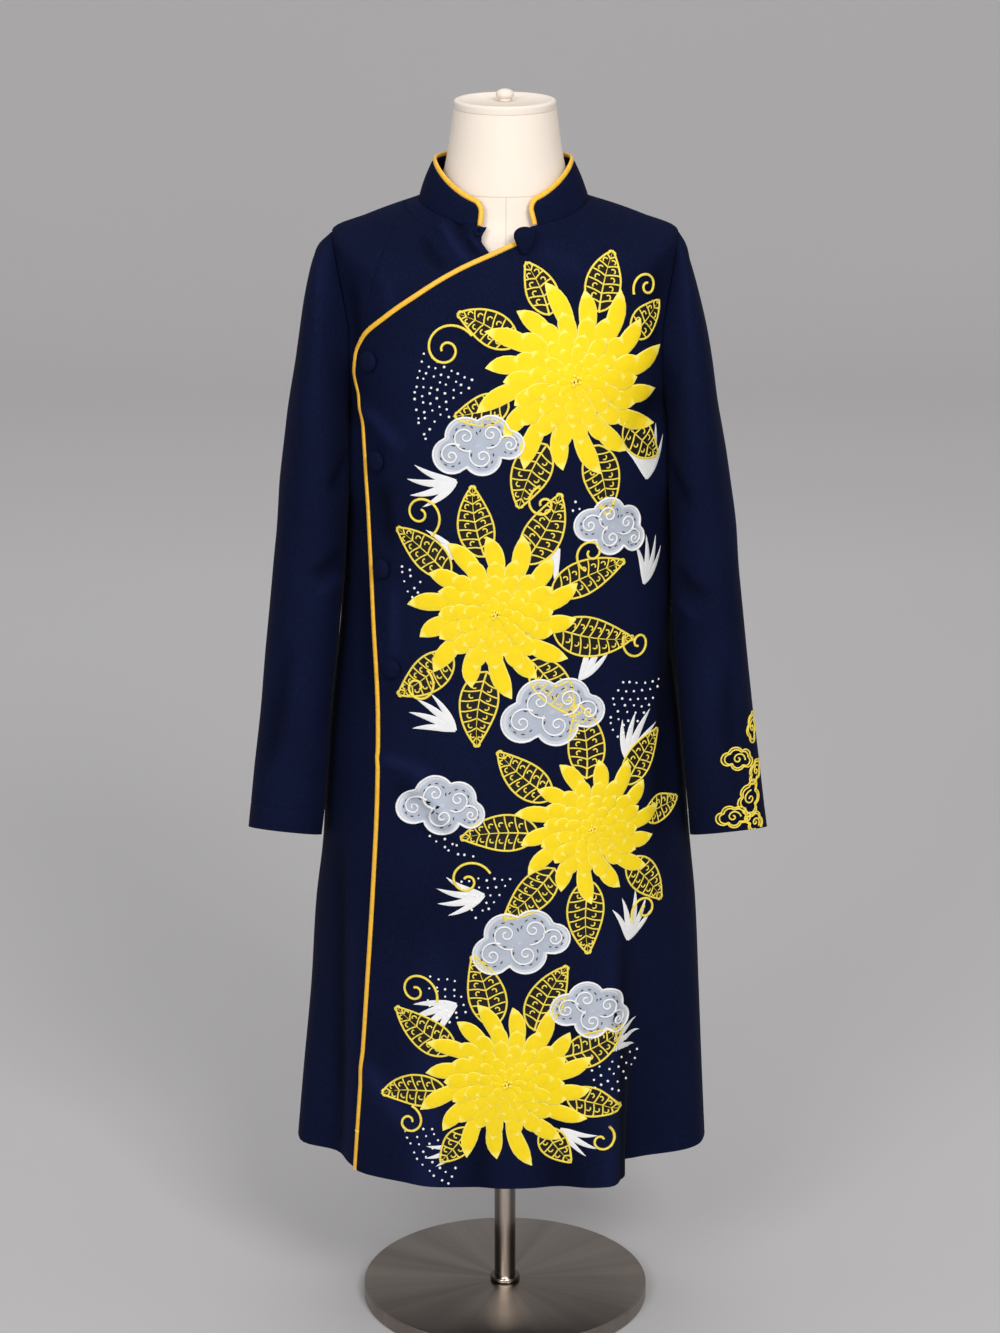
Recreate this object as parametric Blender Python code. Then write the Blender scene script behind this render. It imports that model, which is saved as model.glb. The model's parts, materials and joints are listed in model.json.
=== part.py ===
"""A long mandarin collar coat on a limbless dress form with a steel stand.

Metres, +Z up. The origin is the middle of the underside of the round base.
The front of the coat looks along -Y, so the wearer's right side is at -X.
Every cloth panel is a wall cut from one closed surface of rings. A place on
that surface is a level, measured up the side of the coat and then along the
shoulder, and an angle round the body: 0 is the middle of the front, +90 the
wearer's left side, 180 the middle of the back.
"""
import bisect
import math

import bmesh
import bpy
from mathutils import Vector

# Driving dimensions
CLOTH = 0.0020
COLLAR_CLOTH = 0.0024
SEAM_GAP = 0.0003
OVERLAP_RISE = 0.0033
OVERLAP_FADE = 0.034
UNDERLAP_SINK = 0.0016
RING_DIP = 1.5
PIPING_WIDTH = 0.0054
PIPING_THICK = 0.0034

HEM_LEVEL = 0.198
UNDERARM_LEVEL = 1.040
SHOULDER_LEVEL = 1.221
NECK_LEVEL = 1.3205
FRONT_SEAM_TOP = 1.302
ARMHOLE_ROWS = 12
FRONT_REACH = 22.0
BACK_REACH = 19.0

BASE_RADIUS = 0.160
BASE_THICK = 0.017
BASE_EDGE = 0.0022
POLE_RADIUS = 0.0119
FLANGE_RADIUS = 0.0168
FLANGE_HEIGHT = 0.0055
FORM_BOTTOM = 0.640
NECK_TOP = 1.3505

# Rings of the coat. Widths and depths are measured from the middle axis.
COAT_COLUMNS = ("name", "level", "side_z", "right", "left", "front_z", "front",
                "back_z", "back", "roundness")
COAT_RINGS = (
    ("hem", 0.198, 0.198, 0.2325, 0.2243, 0.195, 0.1450, 0.196, 0.148, 1.90),
    ("shin", 0.285, 0.285, 0.2243, 0.2195, 0.283, 0.1425, 0.284, 0.146, 1.95),
    ("knee", 0.381, 0.381, 0.2148, 0.2148, 0.380, 0.1395, 0.381, 0.143, 2.00),
    ("thigh", 0.476, 0.476, 0.2082, 0.2098, 0.476, 0.1370, 0.476, 0.139, 2.05),
    ("below_cuff", 0.555, 0.555, 0.1988, 0.2020, 0.555, 0.1345, 0.555, 0.135, 2.10),
    ("hip", 0.632, 0.632, 0.1945, 0.1955, 0.632, 0.1325, 0.632, 0.131, 2.15),
    ("below_waist", 0.718, 0.718, 0.1865, 0.1882, 0.718, 0.1305, 0.718, 0.125, 2.20),
    ("waist", 0.805, 0.805, 0.1765, 0.1812, 0.805, 0.1290, 0.805, 0.118, 2.25),
    ("ribs", 0.900, 0.900, 0.1690, 0.1766, 0.900, 0.1290, 0.900, 0.114, 2.30),
    ("bust", 0.980, 0.980, 0.1652, 0.1726, 0.980, 0.1290, 0.980, 0.114, 2.35),
    ("underarm", 1.040, 1.040, 0.1635, 0.1705, 1.038, 0.1270, 1.040, 0.116, 2.35),
    ("chest", 1.100, 1.100, 0.1720, 0.1735, 1.086, 0.1225, 1.093, 0.118, 2.40),
    ("armhole", 1.130, 1.130, 0.1740, 0.1755, 1.107, 0.1185, 1.118, 0.117, 2.30),
    ("yoke", 1.160, 1.160, 0.1780, 0.1795, 1.126, 0.1140, 1.145, 0.115, 2.20),
    ("shoulder_low", 1.195, 1.195, 0.1810, 0.1815, 1.148, 0.1085, 1.172, 0.111, 2.10),
    ("shoulder_point", 1.221, 1.221, 0.1812, 0.1812, 1.164, 0.1045, 1.190, 0.107, 2.05),
    ("mid_shoulder", 1.260, 1.2390, 0.1444, 0.1444, 1.192, 0.0945, 1.216, 0.094, 2.02),
    ("near_neck", 1.295, 1.2510, 0.1115, 0.1112, 1.219, 0.0840, 1.240, 0.083, 2.00),
    ("neck", 1.3205, 1.2572, 0.0898, 0.0872, 1.2385, 0.0745, 1.258, 0.071, 2.00),
)

# Folds of the skirt. A negative depth at the hem is a valley. Each fold keeps
# its angle, is so many degrees wide before and after it, and dies out upwards.
# Columns: name, angle, before, after, depth, top
FOLDS = (
    ("left_front_crest", 29.0, 17.0, 13.0, 0.016, 0.60),
    ("left_front_valley", 45.0, 9.0, 34.0, -0.036, 0.56),
    ("right_side_valley", -62.0, 19.0, 22.0, -0.023, 0.50),
    ("left_back_valley", 124.0, 19.0, 17.0, -0.021, 0.60),
    ("left_back_crest", 145.0, 13.0, 13.0, 0.008, 0.55),
    ("middle_back_valley", 167.0, 14.0, 18.0, -0.015, 0.50),
    ("right_back_valley", -152.0, 18.0, 16.0, -0.022, 0.62),
    ("right_back_crest", -128.0, 12.0, 12.0, 0.007, 0.50),
    ("right_back_side_valley", -111.0, 14.0, 12.0, -0.013, 0.46),
)

# Middle of the piping on the overlap's edge, as seen from the front. Columns: z, x
PIPING_LINE = (
    (0.198, -0.1630), (0.460, -0.1450), (0.630, -0.1350), (0.720, -0.1332),
    (0.825, -0.1370), (0.955, -0.1420), (1.035, -0.1460), (1.063, -0.1505),
    (1.0875, -0.1552), (1.103, -0.1546), (1.126, -0.1448), (1.147, -0.1235),
    (1.174, -0.0870), (1.198, -0.0460), (1.2166, -0.0050), (1.228, 0.0170),
    (1.240, 0.0235),
)

# Front seam of the wearer's right side, and the hidden edge of the underlap. Columns: z, x
FRONT_SEAM = (
    (0.198, -0.1480), (0.460, -0.1310), (0.720, -0.1190), (0.955, -0.1280),
    (1.060, -0.1360), (1.110, -0.1400), (1.1373, -0.1468), (1.172, -0.1393),
    (1.234, -0.1160), (1.2500, -0.1020),
)
UNDERLAP_EDGE = (
    (0.198, -0.0800), (0.720, -0.0560), (1.000, -0.0560), (1.100, -0.0420),
    (1.160, -0.0160), (1.200, -0.0080), (1.2135, -0.0154), (1.228, -0.0246),
    (1.240, -0.0184),
)

# Rings of the dress form, which is the same on its left and right
FORM_COLUMNS = ("name", "level", "side_z", "half", "front_z", "front", "back_z",
                "back", "roundness")
FORM_RINGS = (
    ("bottom", 0.640, 0.640, 0.1480, 0.640, 0.0930, 0.640, 0.0980, 2.15),
    ("hip", 0.700, 0.700, 0.1600, 0.700, 0.1020, 0.700, 0.1100, 2.15),
    ("waist", 0.860, 0.860, 0.1180, 0.860, 0.0860, 0.860, 0.0760, 2.10),
    ("bust", 1.010, 1.010, 0.1400, 1.010, 0.1120, 1.010, 0.0860, 2.20),
    ("chest", 1.100, 1.100, 0.1440, 1.090, 0.1040, 1.095, 0.0940, 2.30),
    ("arm_plate", 1.180, 1.180, 0.1560, 1.140, 0.0900, 1.155, 0.0950, 2.30),
    ("shoulder_end", 1.2245, 1.2262, 0.1620, 1.166, 0.0840, 1.190, 0.0880, 2.10),
    ("shoulder_top", 1.2500, 1.2358, 0.1440, 1.186, 0.0800, 1.208, 0.0830, 2.00),
    ("shoulder_mid", 1.2780, 1.2474, 0.1140, 1.207, 0.0750, 1.230, 0.0760, 2.00),
    ("neck_root", 1.3000, 1.2548, 0.0855, 1.226, 0.0690, 1.246, 0.0660, 2.00),
    ("neck_low", 1.3150, 1.2680, 0.0700, 1.246, 0.0620, 1.262, 0.0580, 2.00),
    ("neck_side", 1.3450, 1.2950, 0.0616, 1.288, 0.0580, 1.293, 0.0550, 2.00),
    ("neck_top", 1.4005, 1.3505, 0.0522, 1.3505, 0.0522, 1.3505, 0.0522, 2.00),
)

# Sections across the sleeves, from the armhole (0) to the cuff (1)
SLEEVE_COLUMNS = ("along", "outer_x", "outer_z", "inner_x", "inner_z", "front_y", "back_y",
                  "front_rise")
SLEEVE_RIGHT = (
    (0.00, 0.1812, 1.2210, 0.1635, 1.0400, -0.0560, 0.0600, 0.0),
    (0.06, 0.1968, 1.2034, 0.1640, 1.0190, -0.0695, 0.0585, 0.0),
    (0.14, 0.2080, 1.1636, 0.1648, 0.9955, -0.0815, 0.0505, 0.0),
    (0.24, 0.2158, 1.1155, 0.1658, 0.9660, -0.0900, 0.0410, 0.0),
    (0.40, 0.2287, 1.0210, 0.1672, 0.9070, -0.0970, 0.0290, 0.001),
    (0.60, 0.2440, 0.8885, 0.1756, 0.8085, -0.0980, 0.0190, 0.004),
    (0.80, 0.2604, 0.7285, 0.1862, 0.7105, -0.0960, 0.0080, 0.007),
    (1.00, 0.2775, 0.5785, 0.1985, 0.5690, -0.0910, 0.0000, 0.014),
)
SLEEVE_LEFT = (
    (0.00, 0.1812, 1.2210, 0.1705, 1.0400, -0.0560, 0.0600, 0.0),
    (0.06, 0.1910, 1.1998, 0.1708, 1.0185, -0.0700, 0.0580, 0.0),
    (0.14, 0.2041, 1.1560, 0.1720, 0.9950, -0.0820, 0.0500, 0.0),
    (0.24, 0.2145, 1.1085, 0.1734, 0.9660, -0.0900, 0.0410, 0.0),
    (0.40, 0.2300, 1.0010, 0.1752, 0.9070, -0.0970, 0.0290, 0.001),
    (0.60, 0.2482, 0.8685, 0.1800, 0.8085, -0.0980, 0.0190, 0.004),
    (0.80, 0.2660, 0.7105, 0.1870, 0.7105, -0.0960, 0.0080, 0.007),
    (1.00, 0.2841, 0.5785, 0.2008, 0.5690, -0.0910, 0.0000, 0.014),
)
SLEEVE_STATIONS = (0.0, 0.025, 0.06, 0.105, 0.16, 0.23, 0.31, 0.40, 0.50, 0.60, 0.70, 0.80,
                   0.90, 1.0)
SLEEVE_ROUNDNESS = 2.25

# Collar: the ring of its top edge, and the angles of its two front ends
COLLAR_TOP = {"half": 0.0712, "middle_x": -0.0018, "front": 0.0655, "back": 0.0630,
              "side_z": 1.3005, "front_z": 1.2625, "back_z": 1.2990}
COLLAR_LEFT_END = 19.0
COLLAR_RIGHT_END = -15.0
COLLAR_CORNER = 0.0080

# Buttons: height of the middle and how far it lies from the piping's middle
BUTTON_RADIUS = 0.0105
BUTTON_HEIGHT = 0.0058
BUTTON_RIM = 0.0012
SHANK_RADIUS = 0.0032
BUTTONS = ((1.1045, 0.0258), (0.9975, 0.0216), (0.8835, 0.0184), (0.7770, 0.0220))

# Drop shaped collar button: share of its full outline at each height
DROP_WIDTH = 0.0212
DROP_LENGTH = 0.0298
DROP_PLACE = Vector((0.0200, -0.0842, 1.2290))
DROP_FACING = Vector((0.10, -1.0, 0.14)).normalized()
DROP_SECTIONS = ((0.30, 0.0), (0.86, 0.0), (1.0, 0.0022), (0.94, 0.0048), (0.72, 0.0070),
                 (0.36, 0.0082))

# Collar loop: an oval ring of cord, and where it lies on the neckline
LOOP_RADIUS = 0.0032
LOOP_CORD_RADIUS = 0.0014
LOOP_LENGTHEN = 1.25
LOOP_LEVEL = 1.3135
LOOP_ANGLE = -16.0

# Raised appliques on the front: middle and size as seen from the front
# Columns: name, x, z, radius, petals, turn
FLOWERS = (
    ("flower_chest", 0.072, 1.088, 0.070, 18, 4.0),
    ("flower_waist", -0.010, 0.842, 0.062, 16, 9.0),
    ("flower_hip", 0.092, 0.602, 0.056, 16, 0.0),
    ("flower_hem", 0.002, 0.318, 0.066, 18, 6.0),
)
# Columns: name, x, z, size, tilt
CLOUDS = (
    ("cloud_shoulder", -0.028, 1.022, 0.046, 12.0),
    ("cloud_side", 0.112, 0.930, 0.042, -20.0),
    ("cloud_middle", 0.050, 0.734, 0.054, 8.0),
    ("cloud_low", -0.066, 0.632, 0.044, -10.0),
    ("cloud_knee", 0.016, 0.478, 0.052, 16.0),
    ("cloud_skirt", 0.094, 0.398, 0.044, -14.0),
)
# A cloud is five round lobes: place and radius in shares of its size
# Columns: x, z, radius
CLOUD_LOBES = ((-0.62, -0.10, 0.40), (-0.22, 0.26, 0.44), (0.34, 0.20, 0.42),
               (0.70, -0.12, 0.32), (0.05, -0.26, 0.42))
PATCH_GAP = 0.0003
PATCH_THICK = 0.0009

# Colours (linear), roughness and metallic value of each material
FINISHES = {
    "navy_suiting": ((0.0065, 0.0095, 0.030), 0.85, 0.0),
    "gold_satin": ((0.76, 0.44, 0.045), 0.38, 0.0),
    "yellow_stitching": ((0.86, 0.64, 0.03), 0.60, 0.0),
    "blue_grey_stitching": ((0.26, 0.30, 0.37), 0.65, 0.0),
    "cream_jersey": ((0.86, 0.78, 0.68), 0.80, 0.0),
    "brushed_steel": ((0.30, 0.27, 0.24), 0.32, 1.0),
}


class Curve:
    """A smooth curve through (position, value) pairs that never overshoots them."""

    def __init__(self, positions, values):
        pairs = sorted(zip(positions, values))
        self.positions = [pair[0] for pair in pairs]
        self.values = [pair[1] for pair in pairs]
        rises = []
        for low, high in zip(pairs, pairs[1:]):
            rises.append((high[1] - low[1]) / (high[0] - low[0]))
        self.slopes = [rises[0]]
        for before, after in zip(rises, rises[1:]):
            level = before * after <= 0.0
            self.slopes.append(0.0 if level else 2.0 * before * after / (before + after))
        self.slopes.append(rises[-1])

    def __call__(self, position):
        position = min(max(position, self.positions[0]), self.positions[-1])
        i = min(bisect.bisect_right(self.positions, position), len(self.positions) - 1) - 1
        span = self.positions[i + 1] - self.positions[i]
        t = (position - self.positions[i]) / span
        start = (1 + 2 * t) * (1 - t) ** 2 * self.values[i]
        start += t * (1 - t) ** 2 * span * self.slopes[i]
        end = t * t * (3 - 2 * t) * self.values[i + 1]
        return start + end + t * t * (t - 1) * span * self.slopes[i + 1]


def table_curves(columns, rows, key):
    """One curve for each numeric column of a table, against the key column."""
    at = columns.index(key)
    keys = [row[at] for row in rows]
    return {name: Curve(keys, [row[i] for row in rows])
            for i, name in enumerate(columns) if name != "name"}


def smooth_step(value):
    value = min(max(value, 0.0), 1.0)
    return value * value * (3.0 - 2.0 * value)


def signed_power(value, power):
    return math.copysign(abs(value) ** power, value)


def angle_between(first, second):
    """Signed difference of two angles in degrees, from -180 to 180."""
    return (first - second + 180.0) % 360.0 - 180.0


class Rings:
    """A closed surface of rings. point() and normal() take a level and an angle."""

    def __init__(self, columns, rows, folds=()):
        self.curves = table_curves(columns, rows, "level")
        self.two_sided = "left" in columns
        self.folds = folds
        self.cache = {}

    def ring(self, level):
        if level not in self.cache:
            self.cache[level] = {name: curve(level) for name, curve in self.curves.items()}
        return self.cache[level]

    def base_point(self, level, angle):
        ring = self.ring(level)
        c = math.cos(math.radians(angle))
        s = math.sin(math.radians(angle))
        power = 2.0 / ring["roundness"]
        if self.two_sided:
            half = ring["left"] if s > 0 else ring["right"]
        else:
            half = ring["half"]
        depth = ring["front"] if c > 0 else ring["back"]
        end_z = ring["front_z"] if c > 0 else ring["back_z"]
        x = half * signed_power(s, power)
        y = -depth * signed_power(c, power)
        z = ring["side_z"] + (end_z - ring["side_z"]) * abs(c) ** RING_DIP
        return Vector((x, y, z))

    def point(self, level, angle):
        place = self.base_point(level, angle)
        push = 0.0
        for name, middle, before, after, depth, top in self.folds:
            away = angle_between(angle, middle)
            away = away / after if away > 0.0 else -away / before
            if level >= top or away >= 1.0:
                continue
            fade = (top - level) / (top - HEM_LEVEL)
            push += depth * fade ** 1.3 * 0.5 * (1.0 + math.cos(math.pi * away))
        if push:
            along = self.base_point(level, angle + 0.5) - self.base_point(level, angle - 0.5)
            place += push * Vector((along.y, -along.x, 0.0)).normalized()
        return place

    def normal(self, level, angle):
        low = self.ring_limit(level - 0.002)
        high = self.ring_limit(level + 0.002)
        up = self.point(high, angle) - self.point(low, angle)
        along = self.point(level, angle + 0.8) - self.point(level, angle - 0.8)
        return along.cross(up).normalized()

    def ring_limit(self, level):
        levels = self.curves["level"].positions
        return min(max(level, levels[0]), levels[-1])

    def raised(self, level, angle, height):
        return self.point(level, angle) + self.normal(level, angle) * height

    def speed(self, level, angle):
        """Metres travelled round the ring for one degree."""
        return (self.point(level, angle + 0.5) - self.point(level, angle - 0.5)).length

    def angle_on_line(self, level, x_of_z, low, high):
        """The angle where a ring crosses a line drawn on the front, by halving."""
        def off(angle):
            place = self.point(level, angle)
            return place.x - x_of_z(place.z)
        if off(low) >= 0.0:
            return low
        if off(high) <= 0.0:
            return high
        for _ in range(40):
            middle = 0.5 * (low + high)
            if off(middle) < 0.0:
                low = middle
            else:
                high = middle
        return 0.5 * (low + high)

    def spread(self, level, start, end, count, crowd=1.0):
        """Angles from start to end along the cloth, closer at the start if crowd is over 1."""
        samples = 64
        angles = [start + (end - start) * i / samples for i in range(samples + 1)]
        places = [self.point(level, angle) for angle in angles]
        lengths = [0.0]
        for before, after in zip(places, places[1:]):
            lengths.append(lengths[-1] + (after - before).length)
        result = []
        for i in range(count + 1):
            wanted = lengths[-1] * (i / count) ** crowd
            j = min(max(bisect.bisect_left(lengths, wanted), 1), samples)
            share = (wanted - lengths[j - 1]) / max(lengths[j] - lengths[j - 1], 1e-9)
            result.append(angles[j - 1] + (angles[j] - angles[j - 1]) * share)
        return result


coat = Rings(COAT_COLUMNS, COAT_RINGS, FOLDS)
form = Rings(FORM_COLUMNS, FORM_RINGS)
piping_x = Curve([row[0] for row in PIPING_LINE], [row[1] for row in PIPING_LINE])
front_seam_x = Curve([row[0] for row in FRONT_SEAM], [row[1] for row in FRONT_SEAM])
underlap_x = Curve([row[0] for row in UNDERLAP_EDGE], [row[1] for row in UNDERLAP_EDGE])


def clear_scene():
    for found in list(bpy.data.objects):
        bpy.data.objects.remove(found, do_unlink=True)


def material(name):
    found = bpy.data.materials.get(name)
    if found:
        return found
    colour, roughness, metallic = FINISHES[name]
    made = bpy.data.materials.new(name)
    made.use_nodes = True
    shader = made.node_tree.nodes["Principled BSDF"]
    shader.inputs["Base Color"].default_value = (*colour, 1.0)
    shader.inputs["Roughness"].default_value = roughness
    shader.inputs["Metallic"].default_value = metallic
    made.diffuse_color = (*colour, 1.0)
    return made


def add_object(name, points, faces, finish, sharp_angle=40.0):
    mesh = bpy.data.meshes.new(name)
    mesh.from_pydata([tuple(place) for place in points], [], faces)
    work = bmesh.new()
    work.from_mesh(mesh)
    bmesh.ops.recalc_face_normals(work, faces=work.faces[:])
    work.to_mesh(mesh)
    work.free()
    mesh.shade_smooth()
    mesh.set_sharp_from_angle(angle=math.radians(sharp_angle))
    made = bpy.data.objects.new(name, mesh)
    made.data.materials.append(material(finish))
    bpy.context.collection.objects.link(made)
    return made


def wall(name, outer, inner, finish, closed=False):
    """A wall of cloth between two grids of points. A closed grid is a tube."""
    rows = len(outer)
    columns = len(outer[0])
    points = [place for grid in (outer, inner) for row in grid for place in row]
    faces = []

    def at(side, row, column):
        return side * rows * columns + row * columns + column % columns

    spans = columns if closed else columns - 1
    for row in range(rows - 1):
        for column in range(spans):
            for side in (0, 1):
                corner = at(side, row, column)
                opposite = at(side, row + 1, column + 1)
                faces.append([corner, at(side, row, column + 1), opposite])
                faces.append([corner, opposite, at(side, row + 1, column)])
    for row in (0, rows - 1):
        for column in range(spans):
            faces.append([at(0, row, column), at(0, row, column + 1),
                          at(1, row, column + 1), at(1, row, column)])
    if not closed:
        for column in (0, columns - 1):
            for row in range(rows - 1):
                faces.append([at(0, row, column), at(0, row + 1, column),
                              at(1, row + 1, column), at(1, row, column)])
    return add_object(name, points, faces, finish)


def tube(name, rings, finish, sharp_angle=40.0):
    """A solid through rings of points, closed with a flat fan at both ends."""
    count = len(rings[0])
    points = [place for ring in rings for place in ring]
    faces = []
    for row in range(len(rings) - 1):
        for i in range(count):
            j = (i + 1) % count
            faces.append([row * count + i, row * count + j,
                          (row + 1) * count + j, (row + 1) * count + i])
    faces.append(list(range(count)))
    faces.append([(len(rings) - 1) * count + i for i in range(count)])
    return add_object(name, points, faces, finish, sharp_angle)


def turned(name, profile, sides, finish, sharp_angle=40.0):
    """A solid turned about Z from (radius, height) pairs. A zero radius is a pole."""
    points = []
    rows = []
    for radius, height in profile:
        if radius == 0.0:
            rows.append([len(points)] * sides)
            points.append(Vector((0.0, 0.0, height)))
            continue
        rows.append([len(points) + i for i in range(sides)])
        for i in range(sides):
            turn = 2.0 * math.pi * i / sides
            points.append(Vector((radius * math.cos(turn), radius * math.sin(turn), height)))
    faces = []
    loop = list(zip(rows, rows[1:]))
    if profile[0][0] > 0.0 and profile[-1][0] > 0.0:
        loop.append((rows[-1], rows[0]))
    for low, high in loop:
        for i in range(sides):
            j = (i + 1) % sides
            corners = []
            for corner in (low[i], low[j], high[j], high[i]):
                if corner not in corners:
                    corners.append(corner)
            faces.append(corners)
    return add_object(name, points, faces, finish, sharp_angle)


def armhole_reach(level):
    """How many degrees the armhole's edge lies in front of or behind the side."""
    middle = 0.5 * (UNDERARM_LEVEL + SHOULDER_LEVEL)
    half = 0.5 * (SHOULDER_LEVEL - UNDERARM_LEVEL)
    share = (level - middle) / half
    return math.sqrt(max(1.0 - share * share, 0.0))


def body_levels():
    skirt = [HEM_LEVEL, 0.240]
    skirt += [0.285 + 0.048 * i for i in range(15)]
    skirt += [1.002]
    middle = 0.5 * (UNDERARM_LEVEL + SHOULDER_LEVEL)
    half = 0.5 * (SHOULDER_LEVEL - UNDERARM_LEVEL)
    arm = [middle - half * math.cos(math.pi * i / ARMHOLE_ROWS) for i in range(ARMHOLE_ROWS + 1)]
    shoulder = [1.237, 1.254, 1.270, 1.286, FRONT_SEAM_TOP, NECK_LEVEL]
    return skirt + arm + shoulder


def piping_angle(level):
    return coat.angle_on_line(level, piping_x, -89.0, 30.0)


def front_seam_angle(level):
    if level >= FRONT_SEAM_TOP:
        return -90.0
    return coat.angle_on_line(level, front_seam_x, -90.0, 0.0)


def underlap_angle(level):
    return coat.angle_on_line(level, underlap_x, -80.0, 30.0)


def beside_piping(level, distance):
    """The angle on a ring that lies this far from the piping's middle, square to it."""
    angle = piping_angle(level)
    low = coat.ring_limit(level - 0.003)
    high = coat.ring_limit(level + 0.003)
    along = coat.point(high, piping_angle(high)) - coat.point(low, piping_angle(low))
    across = coat.normal(level, angle).cross(along).normalized()
    around = (coat.point(level, angle + 0.5) - coat.point(level, angle - 0.5)).normalized()
    shift = distance / max(abs(across.dot(around)), 0.3)
    return angle + shift / coat.speed(level, angle)


def overlap_height(level, angle):
    """The overlap lies over the underlap and comes down to the body beyond it."""
    place = coat.point(level, angle)
    past = place.x - (underlap_x(place.z) + 0.006)
    return OVERLAP_RISE * (1.0 - smooth_step(past / OVERLAP_FADE))


def underlap_height(level, angle):
    """The underlap sinks a little once it is under the overlap."""
    inside = (angle - piping_angle(level)) * coat.speed(level, angle)
    return -UNDERLAP_SINK * smooth_step(inside / 0.018)


def side_angle(level, side, back):
    """Edge of a front or back panel at the side seam, armhole or shoulder seam."""
    reach = armhole_reach(level) * (BACK_REACH if back else FRONT_REACH)
    gap = 0.5 * SEAM_GAP / coat.speed(level, 90.0 * side)
    return side * (90.0 + reach + gap) if back else side * (90.0 - reach - gap)


def seam_beside(level, angle, side):
    return angle + side * 0.5 * SEAM_GAP / coat.speed(level, angle)


def panel(name, levels, left_edge, right_edge, columns, height, crowd=1.0):
    """A cloth panel between two edges. The grids of both faces are returned."""
    outer = []
    inner = []
    for level in levels:
        angles = coat.spread(level, left_edge(level), right_edge(level), columns, crowd)
        outer.append([coat.raised(level, a, height(level, a)) for a in angles])
        inner.append([coat.raised(level, a, height(level, a) - CLOTH) for a in angles])
    wall(name, outer, inner, "navy_suiting")
    return outer, inner


def flat_height(level, angle):
    return 0.0


def make_body():
    levels = body_levels()
    edge = 0.5 * PIPING_WIDTH + SEAM_GAP
    overlap = panel("front_overlap", levels, lambda level: beside_piping(level, edge),
                    lambda level: side_angle(level, 1.0, False), 14, overlap_height, 1.2)
    seam_levels = [level for level in levels if level < FRONT_SEAM_TOP - 0.005]
    panel("side_front_right", seam_levels, lambda level: side_angle(level, -1.0, False),
          lambda level: seam_beside(level, front_seam_angle(level), -1.0), 4, flat_height)

    def underlap_left(level):
        if level >= FRONT_SEAM_TOP:
            return side_angle(level, -1.0, False)
        return seam_beside(level, front_seam_angle(level), 1.0)

    panel("front_underlap", levels, underlap_left, underlap_angle, 6, underlap_height)
    panel("back", levels, lambda level: side_angle(level, 1.0, True),
          lambda level: 360.0 + side_angle(level, -1.0, True), 15, flat_height)
    return overlap


def armhole_loop(side):
    """Points and directions round the armhole, from the underarm up the front edge."""
    middle = 0.5 * (UNDERARM_LEVEL + SHOULDER_LEVEL)
    half = 0.5 * (SHOULDER_LEVEL - UNDERARM_LEVEL)
    loop = []
    for i in range(2 * ARMHOLE_ROWS):
        back = i > ARMHOLE_ROWS
        turn = math.pi * i / ARMHOLE_ROWS
        level = middle - half * math.cos(turn)
        reach = armhole_reach(level) * (BACK_REACH if back else FRONT_REACH)
        angle = side * (90.0 + reach if back else 90.0 - reach)
        around = coat.point(level, angle + 0.5) - coat.point(level, angle - 0.5)
        up = coat.point(level + 0.002, angle) - coat.point(level - 0.002, angle)
        out = around.normalized() * side * math.sin(turn) + up.normalized() * math.cos(turn)
        loop.append((coat.point(level, angle), coat.normal(level, angle), out.normalized()))
    return loop


def sleeve_section(curves, side, along, turn):
    """A point on the sleeve's outline: turn 0 is the inner side, 90 the front."""
    outer = Vector((side * curves["outer_x"](along), 0.0, curves["outer_z"](along)))
    inner = Vector((side * curves["inner_x"](along), 0.0, curves["inner_z"](along)))
    middle = 0.5 * (outer + inner)
    front = curves["front_y"](along)
    back = curves["back_y"](along)
    power = 2.0 / SLEEVE_ROUNDNESS
    c = signed_power(math.cos(turn), power)
    s = signed_power(math.sin(turn), power)
    place = middle - 0.5 * (outer - inner) * c
    place.y = 0.5 * (front + back) - 0.5 * (back - front) * s
    place.z += curves["front_rise"](along) * s
    return place


def grid_normals(grid):
    """Normals of a closed grid of points, from its own neighbours."""
    rows = len(grid)
    columns = len(grid[0])
    result = []
    for i in range(rows):
        row = []
        for j in range(columns):
            along = grid[min(i + 1, rows - 1)][j] - grid[max(i - 1, 0)][j]
            round_it = grid[i][(j + 1) % columns] - grid[i][j - 1]
            row.append(along.cross(round_it).normalized())
        result.append(row)
    return result


def make_sleeve(name, side, rows):
    curves = table_curves(SLEEVE_COLUMNS, rows, "along")
    loop = armhole_loop(side)
    start = [place + (out + 0.5 * normal).normalized() * 0.00042
             for place, normal, out in loop]
    start_middle = sum(start, Vector()) / len(start)
    grid = [start]
    for along in SLEEVE_STATIONS[1:]:
        ring = []
        share = smooth_step(along / 0.16)
        section = [sleeve_section(curves, side, along, math.pi * i / ARMHOLE_ROWS)
                   for i in range(2 * ARMHOLE_ROWS)]
        middle = sum(section, Vector()) / len(section)
        for i, place in enumerate(section):
            carried = start[i] + (middle - start_middle)
            ring.append(carried.lerp(place, share))
        grid.append(ring)
    normals = grid_normals(grid)
    outward = 1.0 if normals[-1][ARMHOLE_ROWS].x * side > 0.0 else -1.0
    inner = []
    for i, row in enumerate(grid):
        inner_row = []
        for j, place in enumerate(row):
            inward = -outward * normals[i][j]
            if i == 0:
                out = loop[j][2]
                inward = (inward - min(inward.dot(out), 0.0) * out).normalized()
            inner_row.append(place + inward * CLOTH)
        inner.append(inner_row)
    wall(name, grid, inner, "navy_suiting", closed=True)


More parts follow.
